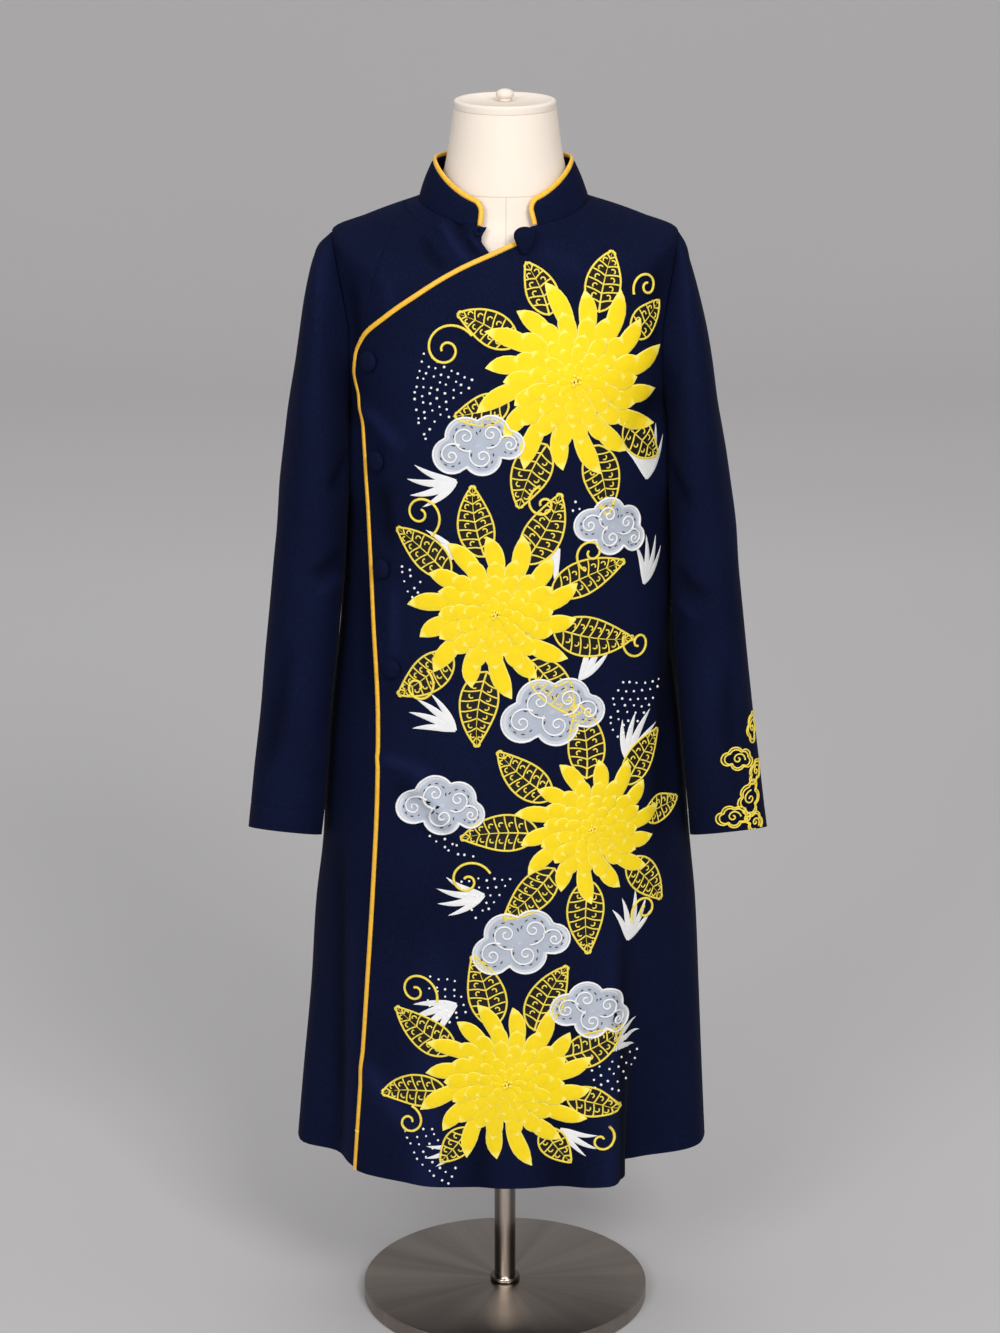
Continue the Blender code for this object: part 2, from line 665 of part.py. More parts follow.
def collar_place(angle, height):
    """A point of the collar's outer face: metres up from its base seam."""
    base = coat.raised(NECK_LEVEL, angle, 0.0)
    c = math.cos(math.radians(angle))
    s = math.sin(math.radians(angle))
    depth = COLLAR_TOP["front"] if c > 0 else COLLAR_TOP["back"]
    end_z = COLLAR_TOP["front_z"] if c > 0 else COLLAR_TOP["back_z"]
    z = COLLAR_TOP["side_z"] + (end_z - COLLAR_TOP["side_z"]) * abs(c) ** 1.6
    top = Vector((COLLAR_TOP["middle_x"] + COLLAR_TOP["half"] * s, -depth * c, z))
    rise = top - base
    share = height / rise.length
    bow = 0.0012 * 4.0 * share * (1.0 - share)
    outward = Vector((s, -c, 0.0))
    return base + rise * share + outward * bow, rise.length


def collar_normal(angle, height):
    around = collar_place(angle + 0.8, height)[0] - collar_place(angle - 0.8, height)[0]
    up = collar_place(angle, height + 0.001)[0] - collar_place(angle, height)[0]
    return around.cross(up).normalized()


def collar_angle(distance, from_left):
    """The angle that lies this far round the collar from one of its front ends."""
    end = COLLAR_LEFT_END if from_left else 360.0 + COLLAR_RIGHT_END
    step = 0.5
    metres = (collar_place(end + step, 0.010)[0] - collar_place(end - step, 0.010)[0]).length
    turn = distance / metres
    return end + turn if from_left else end - turn


def corner_drop(distance):
    """How far the rounded front corner lies below the collar's top edge."""
    short = max(COLLAR_CORNER - distance, 0.0)
    return COLLAR_CORNER - math.sqrt(max(COLLAR_CORNER ** 2 - short ** 2, 0.0))


def make_collar():
    edge = PIPING_WIDTH + SEAM_GAP
    lift = 0.0006
    near = [COLLAR_CORNER * (1.0 - math.cos(math.radians(a))) for a in (0, 24, 45, 66, 90)]
    rounds = 26
    first = collar_angle(near[-1] + edge, True)
    last = collar_angle(near[-1] + edge, False)
    stations = [(collar_angle(d + edge, True), corner_drop(d)) for d in near]
    stations += [(first + (last - first) * i / rounds, 0.0) for i in range(1, rounds)]
    stations += [(collar_angle(d + edge, False), corner_drop(d)) for d in reversed(near)]
    shares = (0.0, 0.35, 0.7, 1.0)
    outer = [[] for _ in shares]
    inner = [[] for _ in shares]
    for angle, drop in stations:
        full = collar_place(angle, 0.0)[1]
        top = full - edge - drop
        for row, share in enumerate(shares):
            height = lift + (top - lift) * share
            place = collar_place(angle, height)[0]
            outer[row].append(place)
            inner[row].append(place - collar_normal(angle, height) * COLLAR_CLOTH)
    wall("collar", outer, inner, "navy_suiting")

    def bead(angle, height):
        return collar_place(angle, height)[0], collar_normal(angle, height)

    half = 0.5 * PIPING_WIDTH
    path = []
    for from_left in (True, False):
        end = []
        side = collar_angle(half, from_left)
        full = collar_place(side, 0.0)[1]
        corner = COLLAR_CORNER + edge - half
        for height in (0.0012, 0.006, full - half - corner):
            end.append(bead(side, height))
        for turn in (22.5, 45.0, 67.5, 90.0):
            away = corner * (1.0 - math.cos(math.radians(turn)))
            up = corner * math.sin(math.radians(turn))
            angle = collar_angle(half + away, from_left)
            end.append(bead(angle, collar_place(angle, 0.0)[1] - half - corner + up))
        path.append(end)
    start = collar_angle(half + COLLAR_CORNER + edge - half, True)
    stop = collar_angle(half + COLLAR_CORNER + edge - half, False)
    top_run = []
    for i in range(1, rounds + 2):
        angle = start + (stop - start) * i / (rounds + 2)
        top_run.append(bead(angle, collar_place(angle, 0.0)[1] - half))
    piping("collar_piping", path[0] + top_run + path[1][::-1], 0.5 * COLLAR_CLOTH)


def piping(name, path, depth):
    """Flat oval piping along (point, normal) pairs, sunk to the cloth's middle."""
    sides = 6
    rings = []
    for i, (place, normal) in enumerate(path):
        along = (path[min(i + 1, len(path) - 1)][0] - path[max(i - 1, 0)][0]).normalized()
        across = along.cross(normal).normalized()
        out = across.cross(along).normalized()
        middle = place - out * depth
        ring = []
        for j in range(sides):
            turn = 2.0 * math.pi * (j + 0.5) / sides
            ring.append(middle + across * 0.5 * PIPING_WIDTH * math.cos(turn)
                        + out * 0.5 * PIPING_THICK * math.sin(turn))
        rings.append(ring)
    tube(name, rings, "gold_satin", 50.0)


def make_front_piping():
    top = 1.3085
    levels = [level for level in body_levels() if level < top - 0.004] + [top]
    path = []
    for level in levels:
        angle = piping_angle(level)
        path.append((coat.raised(level, angle, overlap_height(level, angle)),
                     coat.normal(level, angle)))
    piping("front_piping", path, 0.5 * CLOTH)


def level_at(z, angle_of_level):
    """The level of the ring that meets a line of angles at this height, by halving."""
    low = HEM_LEVEL
    high = NECK_LEVEL
    for _ in range(40):
        middle = 0.5 * (low + high)
        if coat.point(middle, angle_of_level(middle)).z < z:
            low = middle
        else:
            high = middle
    return 0.5 * (low + high)


def place_on(made, place, normal):
    """Turns a piece so that its Z is the normal and its Y points up, then moves it."""
    side = Vector((0.0, 0.0, 1.0)).cross(normal).normalized()
    rise = normal.cross(side).normalized()
    for vertex in made.data.vertices:
        local = vertex.co.copy()
        vertex.co = place + side * local.x + rise * local.y + normal * local.z
    made.data.update()


def make_buttons():
    sides = 12
    for number, (z, away) in enumerate(BUTTONS, start=1):
        level = level_at(z, piping_angle)
        angle = piping_angle(level) + away / coat.speed(level, piping_angle(level))
        seat = overlap_height(level, angle) + SEAM_GAP
        lift = 0.5 * (PIPING_THICK - CLOTH) + 0.0004
        profile = [(SHANK_RADIUS, 0.0), (SHANK_RADIUS, lift)]
        profile += [(BUTTON_RADIUS * 0.93, lift), (BUTTON_RADIUS, lift + BUTTON_RIM)]
        for turn in (36.0, 68.0):
            part = math.radians(turn)
            profile.append((BUTTON_RADIUS * math.cos(part),
                            lift + BUTTON_RIM + (BUTTON_HEIGHT - BUTTON_RIM) * math.sin(part)))
        profile = [(0.0, 0.0)] + profile + [(0.0, lift + BUTTON_HEIGHT)]
        made = turned(f"button_{number}", profile, sides, "navy_suiting")
        place_on(made, coat.raised(level, angle, seat), coat.normal(level, angle))


def make_collar_fastening():
    """A drop shaped covered button on the overlap's corner, and a loop opposite."""
    count = 20
    rings = []
    for share, height in DROP_SECTIONS:
        ring = []
        for i in range(count):
            turn = 2.0 * math.pi * i / count
            point = 0.5 * (1.0 - math.sin(turn))
            x = 0.5 * DROP_WIDTH * share * math.cos(turn) * (1.0 - 0.55 * point ** 3)
            y = DROP_LENGTH * share * (0.396 * math.sin(turn) - 0.208 * point ** 3)
            ring.append(Vector((x, y, height)))
        rings.append(ring)
    made = tube("collar_button", rings, "navy_suiting")
    place_on(made, DROP_PLACE, DROP_FACING)
    sides = 6
    segments = 12
    points = []
    faces = []
    for i in range(segments):
        turn = 2.0 * math.pi * i / segments
        for j in range(sides):
            around = 2.0 * math.pi * j / sides
            radius = LOOP_RADIUS + LOOP_CORD_RADIUS * math.cos(around)
            points.append(Vector((radius * math.cos(turn),
                                  LOOP_LENGTHEN * radius * math.sin(turn),
                                  LOOP_CORD_RADIUS * math.sin(around))))
            low = i * sides
            high = (i + 1) % segments * sides
            k = (j + 1) % sides
            faces.append([low + j, low + k, high + k, high + j])
    loop = add_object("collar_loop", points, faces, "navy_suiting")
    place_on(loop, coat.raised(LOOP_LEVEL, LOOP_ANGLE, LOOP_CORD_RADIUS + SEAM_GAP),
             coat.normal(LOOP_LEVEL, LOOP_ANGLE))


def flower_outline(x, z, radius, petals, turn):
    """Pointed petals round a middle: a tip and a notch for each petal."""
    outline = []
    for i in range(2 * petals):
        angle = math.radians(turn) + math.pi * i / petals
        longer = 1.0 if (i // 2) % 2 == 0 else 0.88
        reach = radius * (longer if i % 2 == 0 else 0.70)
        outline.append((x + reach * math.cos(angle), z + reach * math.sin(angle)))
    return outline


def cloud_outline(x, z, size, tilt, count=36):
    """The outline of the lobes' union, swept round the cloud's middle."""
    lean = math.radians(tilt)
    outline = []
    for i in range(count):
        angle = 2.0 * math.pi * i / count
        direction = (math.cos(angle), math.sin(angle))
        reach = 0.0
        for lobe_x, lobe_z, radius in CLOUD_LOBES:
            along = lobe_x * direction[0] + lobe_z * direction[1]
            aside = lobe_x * lobe_x + lobe_z * lobe_z - along * along
            if aside < radius * radius:
                reach = max(reach, along + math.sqrt(radius * radius - aside))
        local_x = size * reach * direction[0]
        local_z = size * reach * direction[1]
        outline.append((x + local_x * math.cos(lean) - local_z * math.sin(lean),
                        z + local_x * math.sin(lean) + local_z * math.cos(lean)))
    return outline


def patch(name, outline, overlap, finish):
    """An applique: the panel's own points moved out, cut to an outline by a prism."""
    outer, inner = overlap
    low_x = min(p[0] for p in outline) - 0.004
    high_x = max(p[0] for p in outline) + 0.004
    low_z = min(p[1] for p in outline) - 0.004
    high_z = max(p[1] for p in outline) + 0.004
    columns = len(outer[0])
    inside_rows = [i for i, row in enumerate(outer) if any(low_z < p.z < high_z for p in row)]
    first_row = max(min(inside_rows) - 1, 0)
    last_row = min(max(inside_rows) + 1, len(outer) - 1)
    inside_columns = [j for j in range(columns)
                      if any(low_x < outer[i][j].x < high_x for i in inside_rows)]
    first = max(min(inside_columns) - 1, 0)
    last = min(max(inside_columns) + 1, columns - 1)
    faces = [[], []]
    for side, height in enumerate((PATCH_GAP + PATCH_THICK, PATCH_GAP)):
        for i in range(first_row, last_row + 1):
            row = []
            for j in range(first, last + 1):
                out = (outer[i][j] - inner[i][j]).normalized()
                row.append(outer[i][j] + out * height)
            faces[side].append(row)
    slab = wall(name, faces[0], faces[1], finish)
    count = len(outline)
    near = [Vector((x, -0.30, z)) for x, z in outline]
    far = [Vector((x, 0.0, z)) for x, z in outline]
    prism_faces = [[i, (i + 1) % count, count + (i + 1) % count, count + i] for i in range(count)]
    prism_faces.append(list(range(count)))
    prism_faces.append(list(range(count, 2 * count)))
    cutter = add_object(f"cut_{name}", near + far, prism_faces, finish)
    cutter.hide_render = True
    cutter.display_type = "WIRE"
    cut = slab.modifiers.new("outline", "BOOLEAN")
    cut.operation = "INTERSECT"
    cut.object = cutter


def make_appliques(overlap):
    for name, x, z, radius, petals, turn in FLOWERS:
        patch(name, flower_outline(x, z, radius, petals, turn), overlap, "yellow_stitching")
    for name, x, z, size, tilt in CLOUDS:
        patch(name, cloud_outline(x, z, size, tilt), overlap, "blue_grey_stitching")


def make_form():
    count = 28
    levels = [0.640, 0.700, 0.770, 0.850, 0.930, 1.010, 1.055, 1.100, 1.145,
              1.185, 1.2245, 1.240, 1.258, 1.275, 1.291, 1.302, 1.312,
              1.326, 1.345, 1.4005]
    rings = []
    for level in levels:
        rings.append([form.point(level, 360.0 * i / count) for i in range(count)])
    tube("form_torso", rings, "cream_jersey", 60.0)
    low = NECK_TOP + SEAM_GAP
    radius = 0.0522
    cap = [(0.0, low), (radius - 0.0004, low), (radius + 0.0004, low + 0.0030),
           (radius - 0.0008, low + 0.0068), (radius - 0.0034, low + 0.0084),
           (radius - 0.0064, low + 0.0078), (radius - 0.0084, low + 0.0058), (0.0, low + 0.0052)]
    turned("neck_cap", cap, 28, "cream_jersey")
    seat = low + 0.0052 + SEAM_GAP
    knob = [(0.0, seat), (0.0072, seat), (0.0062, seat + 0.0022), (0.0088, seat + 0.0040),
            (0.0098, seat + 0.0066), (0.0080, seat + 0.0100), (0.0044, seat + 0.0120),
            (0.0, seat + 0.0127)]
    turned("cap_knob", knob, 14, "cream_jersey")


def make_stand():
    plate = [(0.0, 0.0), (BASE_RADIUS - BASE_EDGE, 0.0), (BASE_RADIUS, BASE_EDGE),
             (BASE_RADIUS, BASE_THICK - BASE_EDGE),
             (BASE_RADIUS - 0.3 * BASE_EDGE, BASE_THICK - 0.3 * BASE_EDGE),
             (BASE_RADIUS - BASE_EDGE, BASE_THICK), (0.0, BASE_THICK)]
    turned("base", plate, 48, "brushed_steel", 30.0)
    foot = BASE_THICK + SEAM_GAP
    pole = [(0.0, foot), (POLE_RADIUS, foot), (POLE_RADIUS, FORM_BOTTOM - SEAM_GAP),
            (0.0, FORM_BOTTOM - SEAM_GAP)]
    turned("pole", pole, 20, "brushed_steel")
    bore = POLE_RADIUS + SEAM_GAP
    ring = [(bore, foot), (FLANGE_RADIUS, foot), (FLANGE_RADIUS, foot + 0.6 * FLANGE_HEIGHT),
            (0.5 * (bore + FLANGE_RADIUS), foot + FLANGE_HEIGHT), (bore, foot + FLANGE_HEIGHT)]
    turned("pole_flange", ring, 20, "brushed_steel")


def main():
    clear_scene()
    overlap = make_body()
    make_sleeve("sleeve_right", -1.0, SLEEVE_RIGHT)
    make_sleeve("sleeve_left", 1.0, SLEEVE_LEFT)
    make_collar()
    make_front_piping()
    make_buttons()
    make_collar_fastening()
    make_appliques(overlap)
    make_form()
    make_stand()


main()
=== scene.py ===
"""Looks of a long mandarin collar coat on a limbless dress form with a steel stand.

Metres, +Z up. The front of the coat looks along -Y, so the wearer's right side
is at -X. Every panel is made again from the coat's own rings, finer, with its
creases, pressed seams and hem. The embroidery is laid on the front panel.
"""

import bisect
import json
import math
from random import Random

import bmesh
import bpy
from mathutils import Matrix, Vector, noise
from mathutils.bvhtree import BVHTree

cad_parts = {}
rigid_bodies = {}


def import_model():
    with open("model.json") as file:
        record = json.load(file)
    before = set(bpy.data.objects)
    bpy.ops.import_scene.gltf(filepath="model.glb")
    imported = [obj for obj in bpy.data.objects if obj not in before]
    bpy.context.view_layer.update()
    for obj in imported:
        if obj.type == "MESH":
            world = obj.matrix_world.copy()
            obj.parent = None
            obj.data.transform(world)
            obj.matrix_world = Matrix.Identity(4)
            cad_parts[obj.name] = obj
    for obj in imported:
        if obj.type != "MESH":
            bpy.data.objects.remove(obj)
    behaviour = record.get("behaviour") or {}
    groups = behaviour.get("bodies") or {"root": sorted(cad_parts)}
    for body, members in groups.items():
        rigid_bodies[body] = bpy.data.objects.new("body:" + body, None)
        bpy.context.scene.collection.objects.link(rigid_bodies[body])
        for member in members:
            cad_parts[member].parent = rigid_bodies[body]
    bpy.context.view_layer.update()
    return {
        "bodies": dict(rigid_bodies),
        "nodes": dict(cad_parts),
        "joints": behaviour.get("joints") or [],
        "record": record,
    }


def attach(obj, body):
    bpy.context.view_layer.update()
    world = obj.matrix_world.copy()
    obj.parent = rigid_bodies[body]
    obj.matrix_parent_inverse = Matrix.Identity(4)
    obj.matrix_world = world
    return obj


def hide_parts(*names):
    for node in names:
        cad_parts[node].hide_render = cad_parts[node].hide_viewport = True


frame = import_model()

# Driving dimensions
CLOTH = 0.0020
COLLAR_CLOTH = 0.0024
SEAM_GAP = 0.0003
OVERLAP_RISE = 0.0033
OVERLAP_START = 0.006
OVERLAP_FADE = 0.034
UNDERLAP_SINK = 0.0016
UNDERLAP_FADE = 0.018
RING_DIP = 1.5
PIPING_WIDTH = 0.0054
PIPING_THICK = 0.0034
PIPING_TOP = 1.3085
TACK_HEIGHT = 0.243
TACK_WIDTH = 0.0016
TACK_THICK = 0.0009
TACK_STEPS = 12

# Small steps by which directions on a ring are measured, in degrees and in metres of level
ANGLE_STEP = 0.5
WIDE_STEP = 0.8
LEVEL_REACH = 0.002
SEAM_REACH = 0.003

# Limits of the searches along a ring
LEAST_CROSSING = 0.3
HALVINGS = 40

HEM_LEVEL = 0.198
UNDERARM_LEVEL = 1.040
SHOULDER_LEVEL = 1.221
ARMHOLE_MIDDLE = 0.5 * (UNDERARM_LEVEL + SHOULDER_LEVEL)
ARMHOLE_HALF = 0.5 * (SHOULDER_LEVEL - UNDERARM_LEVEL)
NECK_LEVEL = 1.3205
FRONT_SEAM_TOP = 1.302
FRONT_SEAM_STEP = 0.0010
FRONT_REACH = 22.0
BACK_REACH = 19.0

BASE_RADIUS = 0.160
BASE_THICK = 0.017
BASE_EDGE = 0.0022
POLE_RADIUS = 0.0119
FLANGE_RADIUS = 0.0168
FLANGE_HEIGHT = 0.0055
FORM_BOTTOM = 0.640
FORM_TOP = 1.4005
NECK_TOP = 1.3505

# Neck cap with its rim, and the knob in its middle
CAP_RADIUS = 0.0532
CAP_HEIGHT = 0.0084
CAP_SINK = 0.0020
CAP_ROUND = 0.0030
CAP_RIM = 0.0030
CAP_SLOPE = 0.0018
KNOB_RADIUS = 0.0097
KNOB_FLATNESS = 0.60
KNOB_MIDDLE = 0.0070
KNOB_NECK_RADIUS = 0.0068
KNOB_NECK_HEIGHT = 0.0035

# Rings of the coat. Widths and depths are measured from the middle axis.
COAT_COLUMNS = ("name", "level", "side_z", "right", "left", "front_z", "front",
                "back_z", "back", "roundness")
COAT_RINGS = (
    ("hem", 0.198, 0.198, 0.2325, 0.2243, 0.195, 0.1450, 0.196, 0.148, 1.90),
    ("shin", 0.285, 0.285, 0.2243, 0.2195, 0.283, 0.1425, 0.284, 0.146, 1.95),
    ("knee", 0.381, 0.381, 0.2148, 0.2148, 0.380, 0.1395, 0.381, 0.143, 2.00),
    ("thigh", 0.476, 0.476, 0.2082, 0.2098, 0.476, 0.1370, 0.476, 0.139, 2.05),
    ("below_cuff", 0.555, 0.555, 0.1988, 0.2020, 0.555, 0.1345, 0.555, 0.135, 2.10),
    ("hip", 0.632, 0.632, 0.1945, 0.1955, 0.632, 0.1325, 0.632, 0.131, 2.15),
    ("below_waist", 0.718, 0.718, 0.1865, 0.1882, 0.718, 0.1305, 0.718, 0.125, 2.20),
    ("waist", 0.805, 0.805, 0.1765, 0.1812, 0.805, 0.1290, 0.805, 0.118, 2.25),
    ("ribs", 0.900, 0.900, 0.1690, 0.1766, 0.900, 0.1290, 0.900, 0.114, 2.30),
    ("bust", 0.980, 0.980, 0.1652, 0.1726, 0.980, 0.1290, 0.980, 0.114, 2.35),
    ("underarm", 1.040, 1.040, 0.1635, 0.1705, 1.038, 0.1270, 1.040, 0.116, 2.35),
    ("chest", 1.100, 1.100, 0.1720, 0.1735, 1.086, 0.1225, 1.093, 0.118, 2.40),
    ("armhole", 1.130, 1.130, 0.1740, 0.1755, 1.107, 0.1185, 1.118, 0.117, 2.30),
    ("yoke", 1.160, 1.160, 0.1780, 0.1795, 1.126, 0.1140, 1.145, 0.115, 2.20),
    ("shoulder_low", 1.195, 1.195, 0.1810, 0.1815, 1.148, 0.1085, 1.172, 0.111, 2.10),
    ("shoulder_point", 1.221, 1.221, 0.1812, 0.1812, 1.164, 0.1045, 1.190, 0.107, 2.05),
    ("mid_shoulder", 1.260, 1.2390, 0.1444, 0.1444, 1.192, 0.0945, 1.216, 0.094, 2.02),
    ("near_neck", 1.295, 1.2510, 0.1115, 0.1112, 1.219, 0.0840, 1.240, 0.083, 2.00),
    ("neck", 1.3205, 1.2572, 0.0898, 0.0872, 1.2385, 0.0745, 1.258, 0.071, 2.00),
)

# Folds of the skirt. A negative depth at the hem is a valley. Each fold keeps
# its angle, is so many degrees wide before and after it, and dies out upwards.
# Columns: name, angle, before, after, depth, top
FOLDS = (
    ("left_front_crest", 29.0, 17.0, 13.0, 0.016, 0.60),
    ("left_front_valley", 45.0, 9.0, 34.0, -0.036, 0.56),
    ("right_side_valley", -62.0, 19.0, 22.0, -0.023, 0.50),
    ("left_back_valley", 124.0, 19.0, 17.0, -0.021, 0.60),
    ("left_back_crest", 145.0, 13.0, 13.0, 0.008, 0.55),
    ("middle_back_valley", 167.0, 14.0, 18.0, -0.015, 0.50),
    ("right_back_valley", -152.0, 18.0, 16.0, -0.022, 0.62),
    ("right_back_crest", -128.0, 12.0, 12.0, 0.007, 0.50),
    ("right_back_side_valley", -111.0, 14.0, 12.0, -0.013, 0.46),
)

# Middle of the piping on the overlap's edge, as seen from the front. Columns: z, x
PIPING_LINE = (
    (0.198, -0.1630), (0.460, -0.1450), (0.630, -0.1350), (0.720, -0.1332),
    (0.825, -0.1370), (0.955, -0.1420), (1.035, -0.1460), (1.063, -0.1505),
    (1.0875, -0.1552), (1.103, -0.1546), (1.126, -0.1448), (1.147, -0.1235),
    (1.174, -0.0870), (1.198, -0.0460), (1.2166, -0.0050), (1.228, 0.0170),
    (1.240, 0.0235),
)

# Front seam of the wearer's right side, and the hidden edge of the underlap. Columns: z, x
FRONT_SEAM = (
    (0.198, -0.1480), (0.460, -0.1310), (0.720, -0.1190), (0.955, -0.1280),
    (1.060, -0.1360), (1.110, -0.1400), (1.1373, -0.1468), (1.172, -0.1393),
    (1.234, -0.1160), (1.2500, -0.1020),
)
UNDERLAP_EDGE = (
    (0.198, -0.0800), (0.720, -0.0560), (1.000, -0.0560), (1.100, -0.0420),
    (1.160, -0.0160), (1.200, -0.0080), (1.2135, -0.0154), (1.228, -0.0246),
    (1.240, -0.0184),
)

# Rings of the dress form, which is the same on its left and right
FORM_COLUMNS = ("name", "level", "side_z", "half", "front_z", "front", "back_z",
                "back", "roundness")
FORM_RINGS = (
    ("bottom", 0.640, 0.640, 0.1480, 0.640, 0.0930, 0.640, 0.0980, 2.15),
    ("hip", 0.700, 0.700, 0.1600, 0.700, 0.1020, 0.700, 0.1100, 2.15),
    ("waist", 0.860, 0.860, 0.1180, 0.860, 0.0860, 0.860, 0.0760, 2.10),
    ("bust", 1.010, 1.010, 0.1400, 1.010, 0.1120, 1.010, 0.0860, 2.20),
    ("chest", 1.100, 1.100, 0.1440, 1.090, 0.1040, 1.095, 0.0940, 2.30),
    ("arm_plate", 1.180, 1.180, 0.1560, 1.140, 0.0900, 1.155, 0.0950, 2.30),
    ("shoulder_end", 1.2245, 1.2262, 0.1620, 1.166, 0.0840, 1.190, 0.0880, 2.10),
    ("shoulder_top", 1.2500, 1.2358, 0.1440, 1.186, 0.0800, 1.208, 0.0830, 2.00),
    ("shoulder_mid", 1.2780, 1.2474, 0.1140, 1.207, 0.0750, 1.230, 0.0760, 2.00),
    ("neck_root", 1.3000, 1.2548, 0.0855, 1.226, 0.0690, 1.246, 0.0660, 2.00),
    ("neck_low", 1.3150, 1.2680, 0.0700, 1.246, 0.0620, 1.262, 0.0580, 2.00),
    ("neck_side", 1.3450, 1.2950, 0.0616, 1.288, 0.0580, 1.293, 0.0550, 2.00),
    ("neck_top", 1.4005, 1.3505, 0.0534, 1.3505, 0.0534, 1.3505, 0.0534, 2.00),
)

# Sections across the sleeves, from the armhole (0) to the cuff (1)
SLEEVE_COLUMNS = ("along", "outer_x", "outer_z", "inner_x", "inner_z", "front_y", "back_y",
                  "front_rise")
SLEEVE_RIGHT = (
    (0.00, 0.1812, 1.2210, 0.1635, 1.0400, -0.0560, 0.0600, 0.0),
    (0.06, 0.1968, 1.2034, 0.1640, 1.0190, -0.0695, 0.0585, 0.0),
    (0.14, 0.2080, 1.1636, 0.1648, 0.9955, -0.0815, 0.0505, 0.0),
    (0.24, 0.2158, 1.1155, 0.1658, 0.9660, -0.0900, 0.0410, 0.0),
    (0.40, 0.2287, 1.0210, 0.1672, 0.9070, -0.0970, 0.0290, 0.001),
    (0.60, 0.2440, 0.8885, 0.1756, 0.8085, -0.0980, 0.0190, 0.004),
    (0.80, 0.2604, 0.7285, 0.1862, 0.7105, -0.0960, 0.0080, 0.007),
    (1.00, 0.2775, 0.5785, 0.1985, 0.5690, -0.0910, 0.0000, 0.014),
)
SLEEVE_LEFT = (
    (0.00, 0.1812, 1.2210, 0.1705, 1.0400, -0.0560, 0.0600, 0.0),
    (0.06, 0.1910, 1.1998, 0.1708, 1.0185, -0.0700, 0.0580, 0.0),
    (0.14, 0.2041, 1.1560, 0.1720, 0.9950, -0.0820, 0.0500, 0.0),
    (0.24, 0.2145, 1.1085, 0.1734, 0.9660, -0.0900, 0.0410, 0.0),
    (0.40, 0.2300, 1.0010, 0.1752, 0.9070, -0.0970, 0.0290, 0.001),
    (0.60, 0.2482, 0.8685, 0.1800, 0.8085, -0.0980, 0.0190, 0.004),
    (0.80, 0.2660, 0.7105, 0.1870, 0.7105, -0.0960, 0.0080, 0.007),
    (1.00, 0.2841, 0.5785, 0.2008, 0.5690, -0.0910, 0.0000, 0.014),
)
SLEEVE_ROUNDNESS = 2.25

# Collar: the ring of its top edge, and the angles of its two front ends
COLLAR_TOP = {"half": 0.0712, "middle_x": -0.0018, "front": 0.0655, "back": 0.0630,
              "side_z": 1.3005, "front_z": 1.2625, "back_z": 1.2990}
COLLAR_LEFT_END = 19.0
COLLAR_RIGHT_END = -15.0
COLLAR_CORNER = 0.0080
COLLAR_TURN_DOWN = 0.0012
COLLAR_BOW = 0.0012
COLLAR_ROUNDS = 120
CORNER_STEPS = 10
BEAD_STEPS = 12

# Buttons: height of the middle and how far it lies from the piping's middle
BUTTON_RADIUS = 0.0105
BUTTON_HEIGHT = 0.0058
BUTTON_RIM = 0.0012
BUTTON_LIFT = 0.0004
SHANK_RADIUS = 0.0032
SHANK_HEIGHT = 0.0024
BUTTONS = ((1.1045, 0.0258), (0.9975, 0.0216), (0.8835, 0.0184), (0.7770, 0.0220))

# Drop shaped collar button: its ball, how that is stretched, where it lies and faces
DROP_RADIUS = 0.0106
DROP_STRETCH = (1.0, 1.34, 0.42)
DROP_TAPER = 0.95
DROP_SHIFT = (0.0, -0.0015, 0.0044)
DROP_PLACE = Vector((0.0200, -0.0842, 1.2290))
DROP_FACING = Vector((0.10, -1.0, 0.14)).normalized()

# Collar loop: an oval ring of cord, and where it lies on the neckline
LOOP_RADIUS = 0.0032
LOOP_CORD_RADIUS = 0.0014
LOOP_LENGTHEN = 1.25
LOOP_LEVEL = 1.3135
LOOP_ANGLE = -16.0

# Raised embroidery on the front: middle and size as seen from the front
# Columns: name, x, z, radius, petals, turn
BLOSSOMS = (
    ("flower_chest", 0.072, 1.088, 0.070, 18, 4.0),
    ("flower_waist", -0.010, 0.842, 0.062, 16, 9.0),
    ("flower_hip", 0.092, 0.602, 0.056, 16, 0.0),
    ("flower_hem", 0.002, 0.318, 0.066, 18, 6.0),
)
# Columns: name, x, z, size, tilt
CLOUDS = (
    ("cloud_shoulder", -0.028, 1.022, 0.046, 12.0),
    ("cloud_side", 0.112, 0.930, 0.042, -20.0),
    ("cloud_middle", 0.050, 0.734, 0.054, 8.0),
    ("cloud_low", -0.066, 0.632, 0.044, -10.0),
    ("cloud_knee", 0.016, 0.478, 0.052, 16.0),
    ("cloud_skirt", 0.094, 0.398, 0.044, -14.0),
)
# A cloud is five round lobes: place and radius in shares of its size
# Columns: x, z, radius
CLOUD_LOBES = ((-0.62, -0.10, 0.40), (-0.22, 0.26, 0.44), (0.34, 0.20, 0.42),
               (0.70, -0.12, 0.32), (0.05, -0.26, 0.42))

# Fineness of the cloth, and how its seams and hems are drawn in
EDGE_COLUMNS = (0.0, 0.0004, 0.0010, 0.0018, 0.0030)
FULL_EDGE_WIDTH = 0.03
EDGE_DROP = 0.0006
EDGE_WIDTH = 0.0022
CALM_WIDTH = 0.014
LEVEL_STEP = 0.0058
HEM_DEPTH = 0.025
HEM_MARK = 0.00035
HEM_MARK_WIDTH = 0.0011
SLEEVE_LENGTH = 0.667
SLEEVE_TURN = 0.00065
SLEEVE_TUCK = 0.0016
SLEEVE_GAP = 0.00042
SLEEVE_SINK = 0.0002
HEAD_EASE = 0.0034
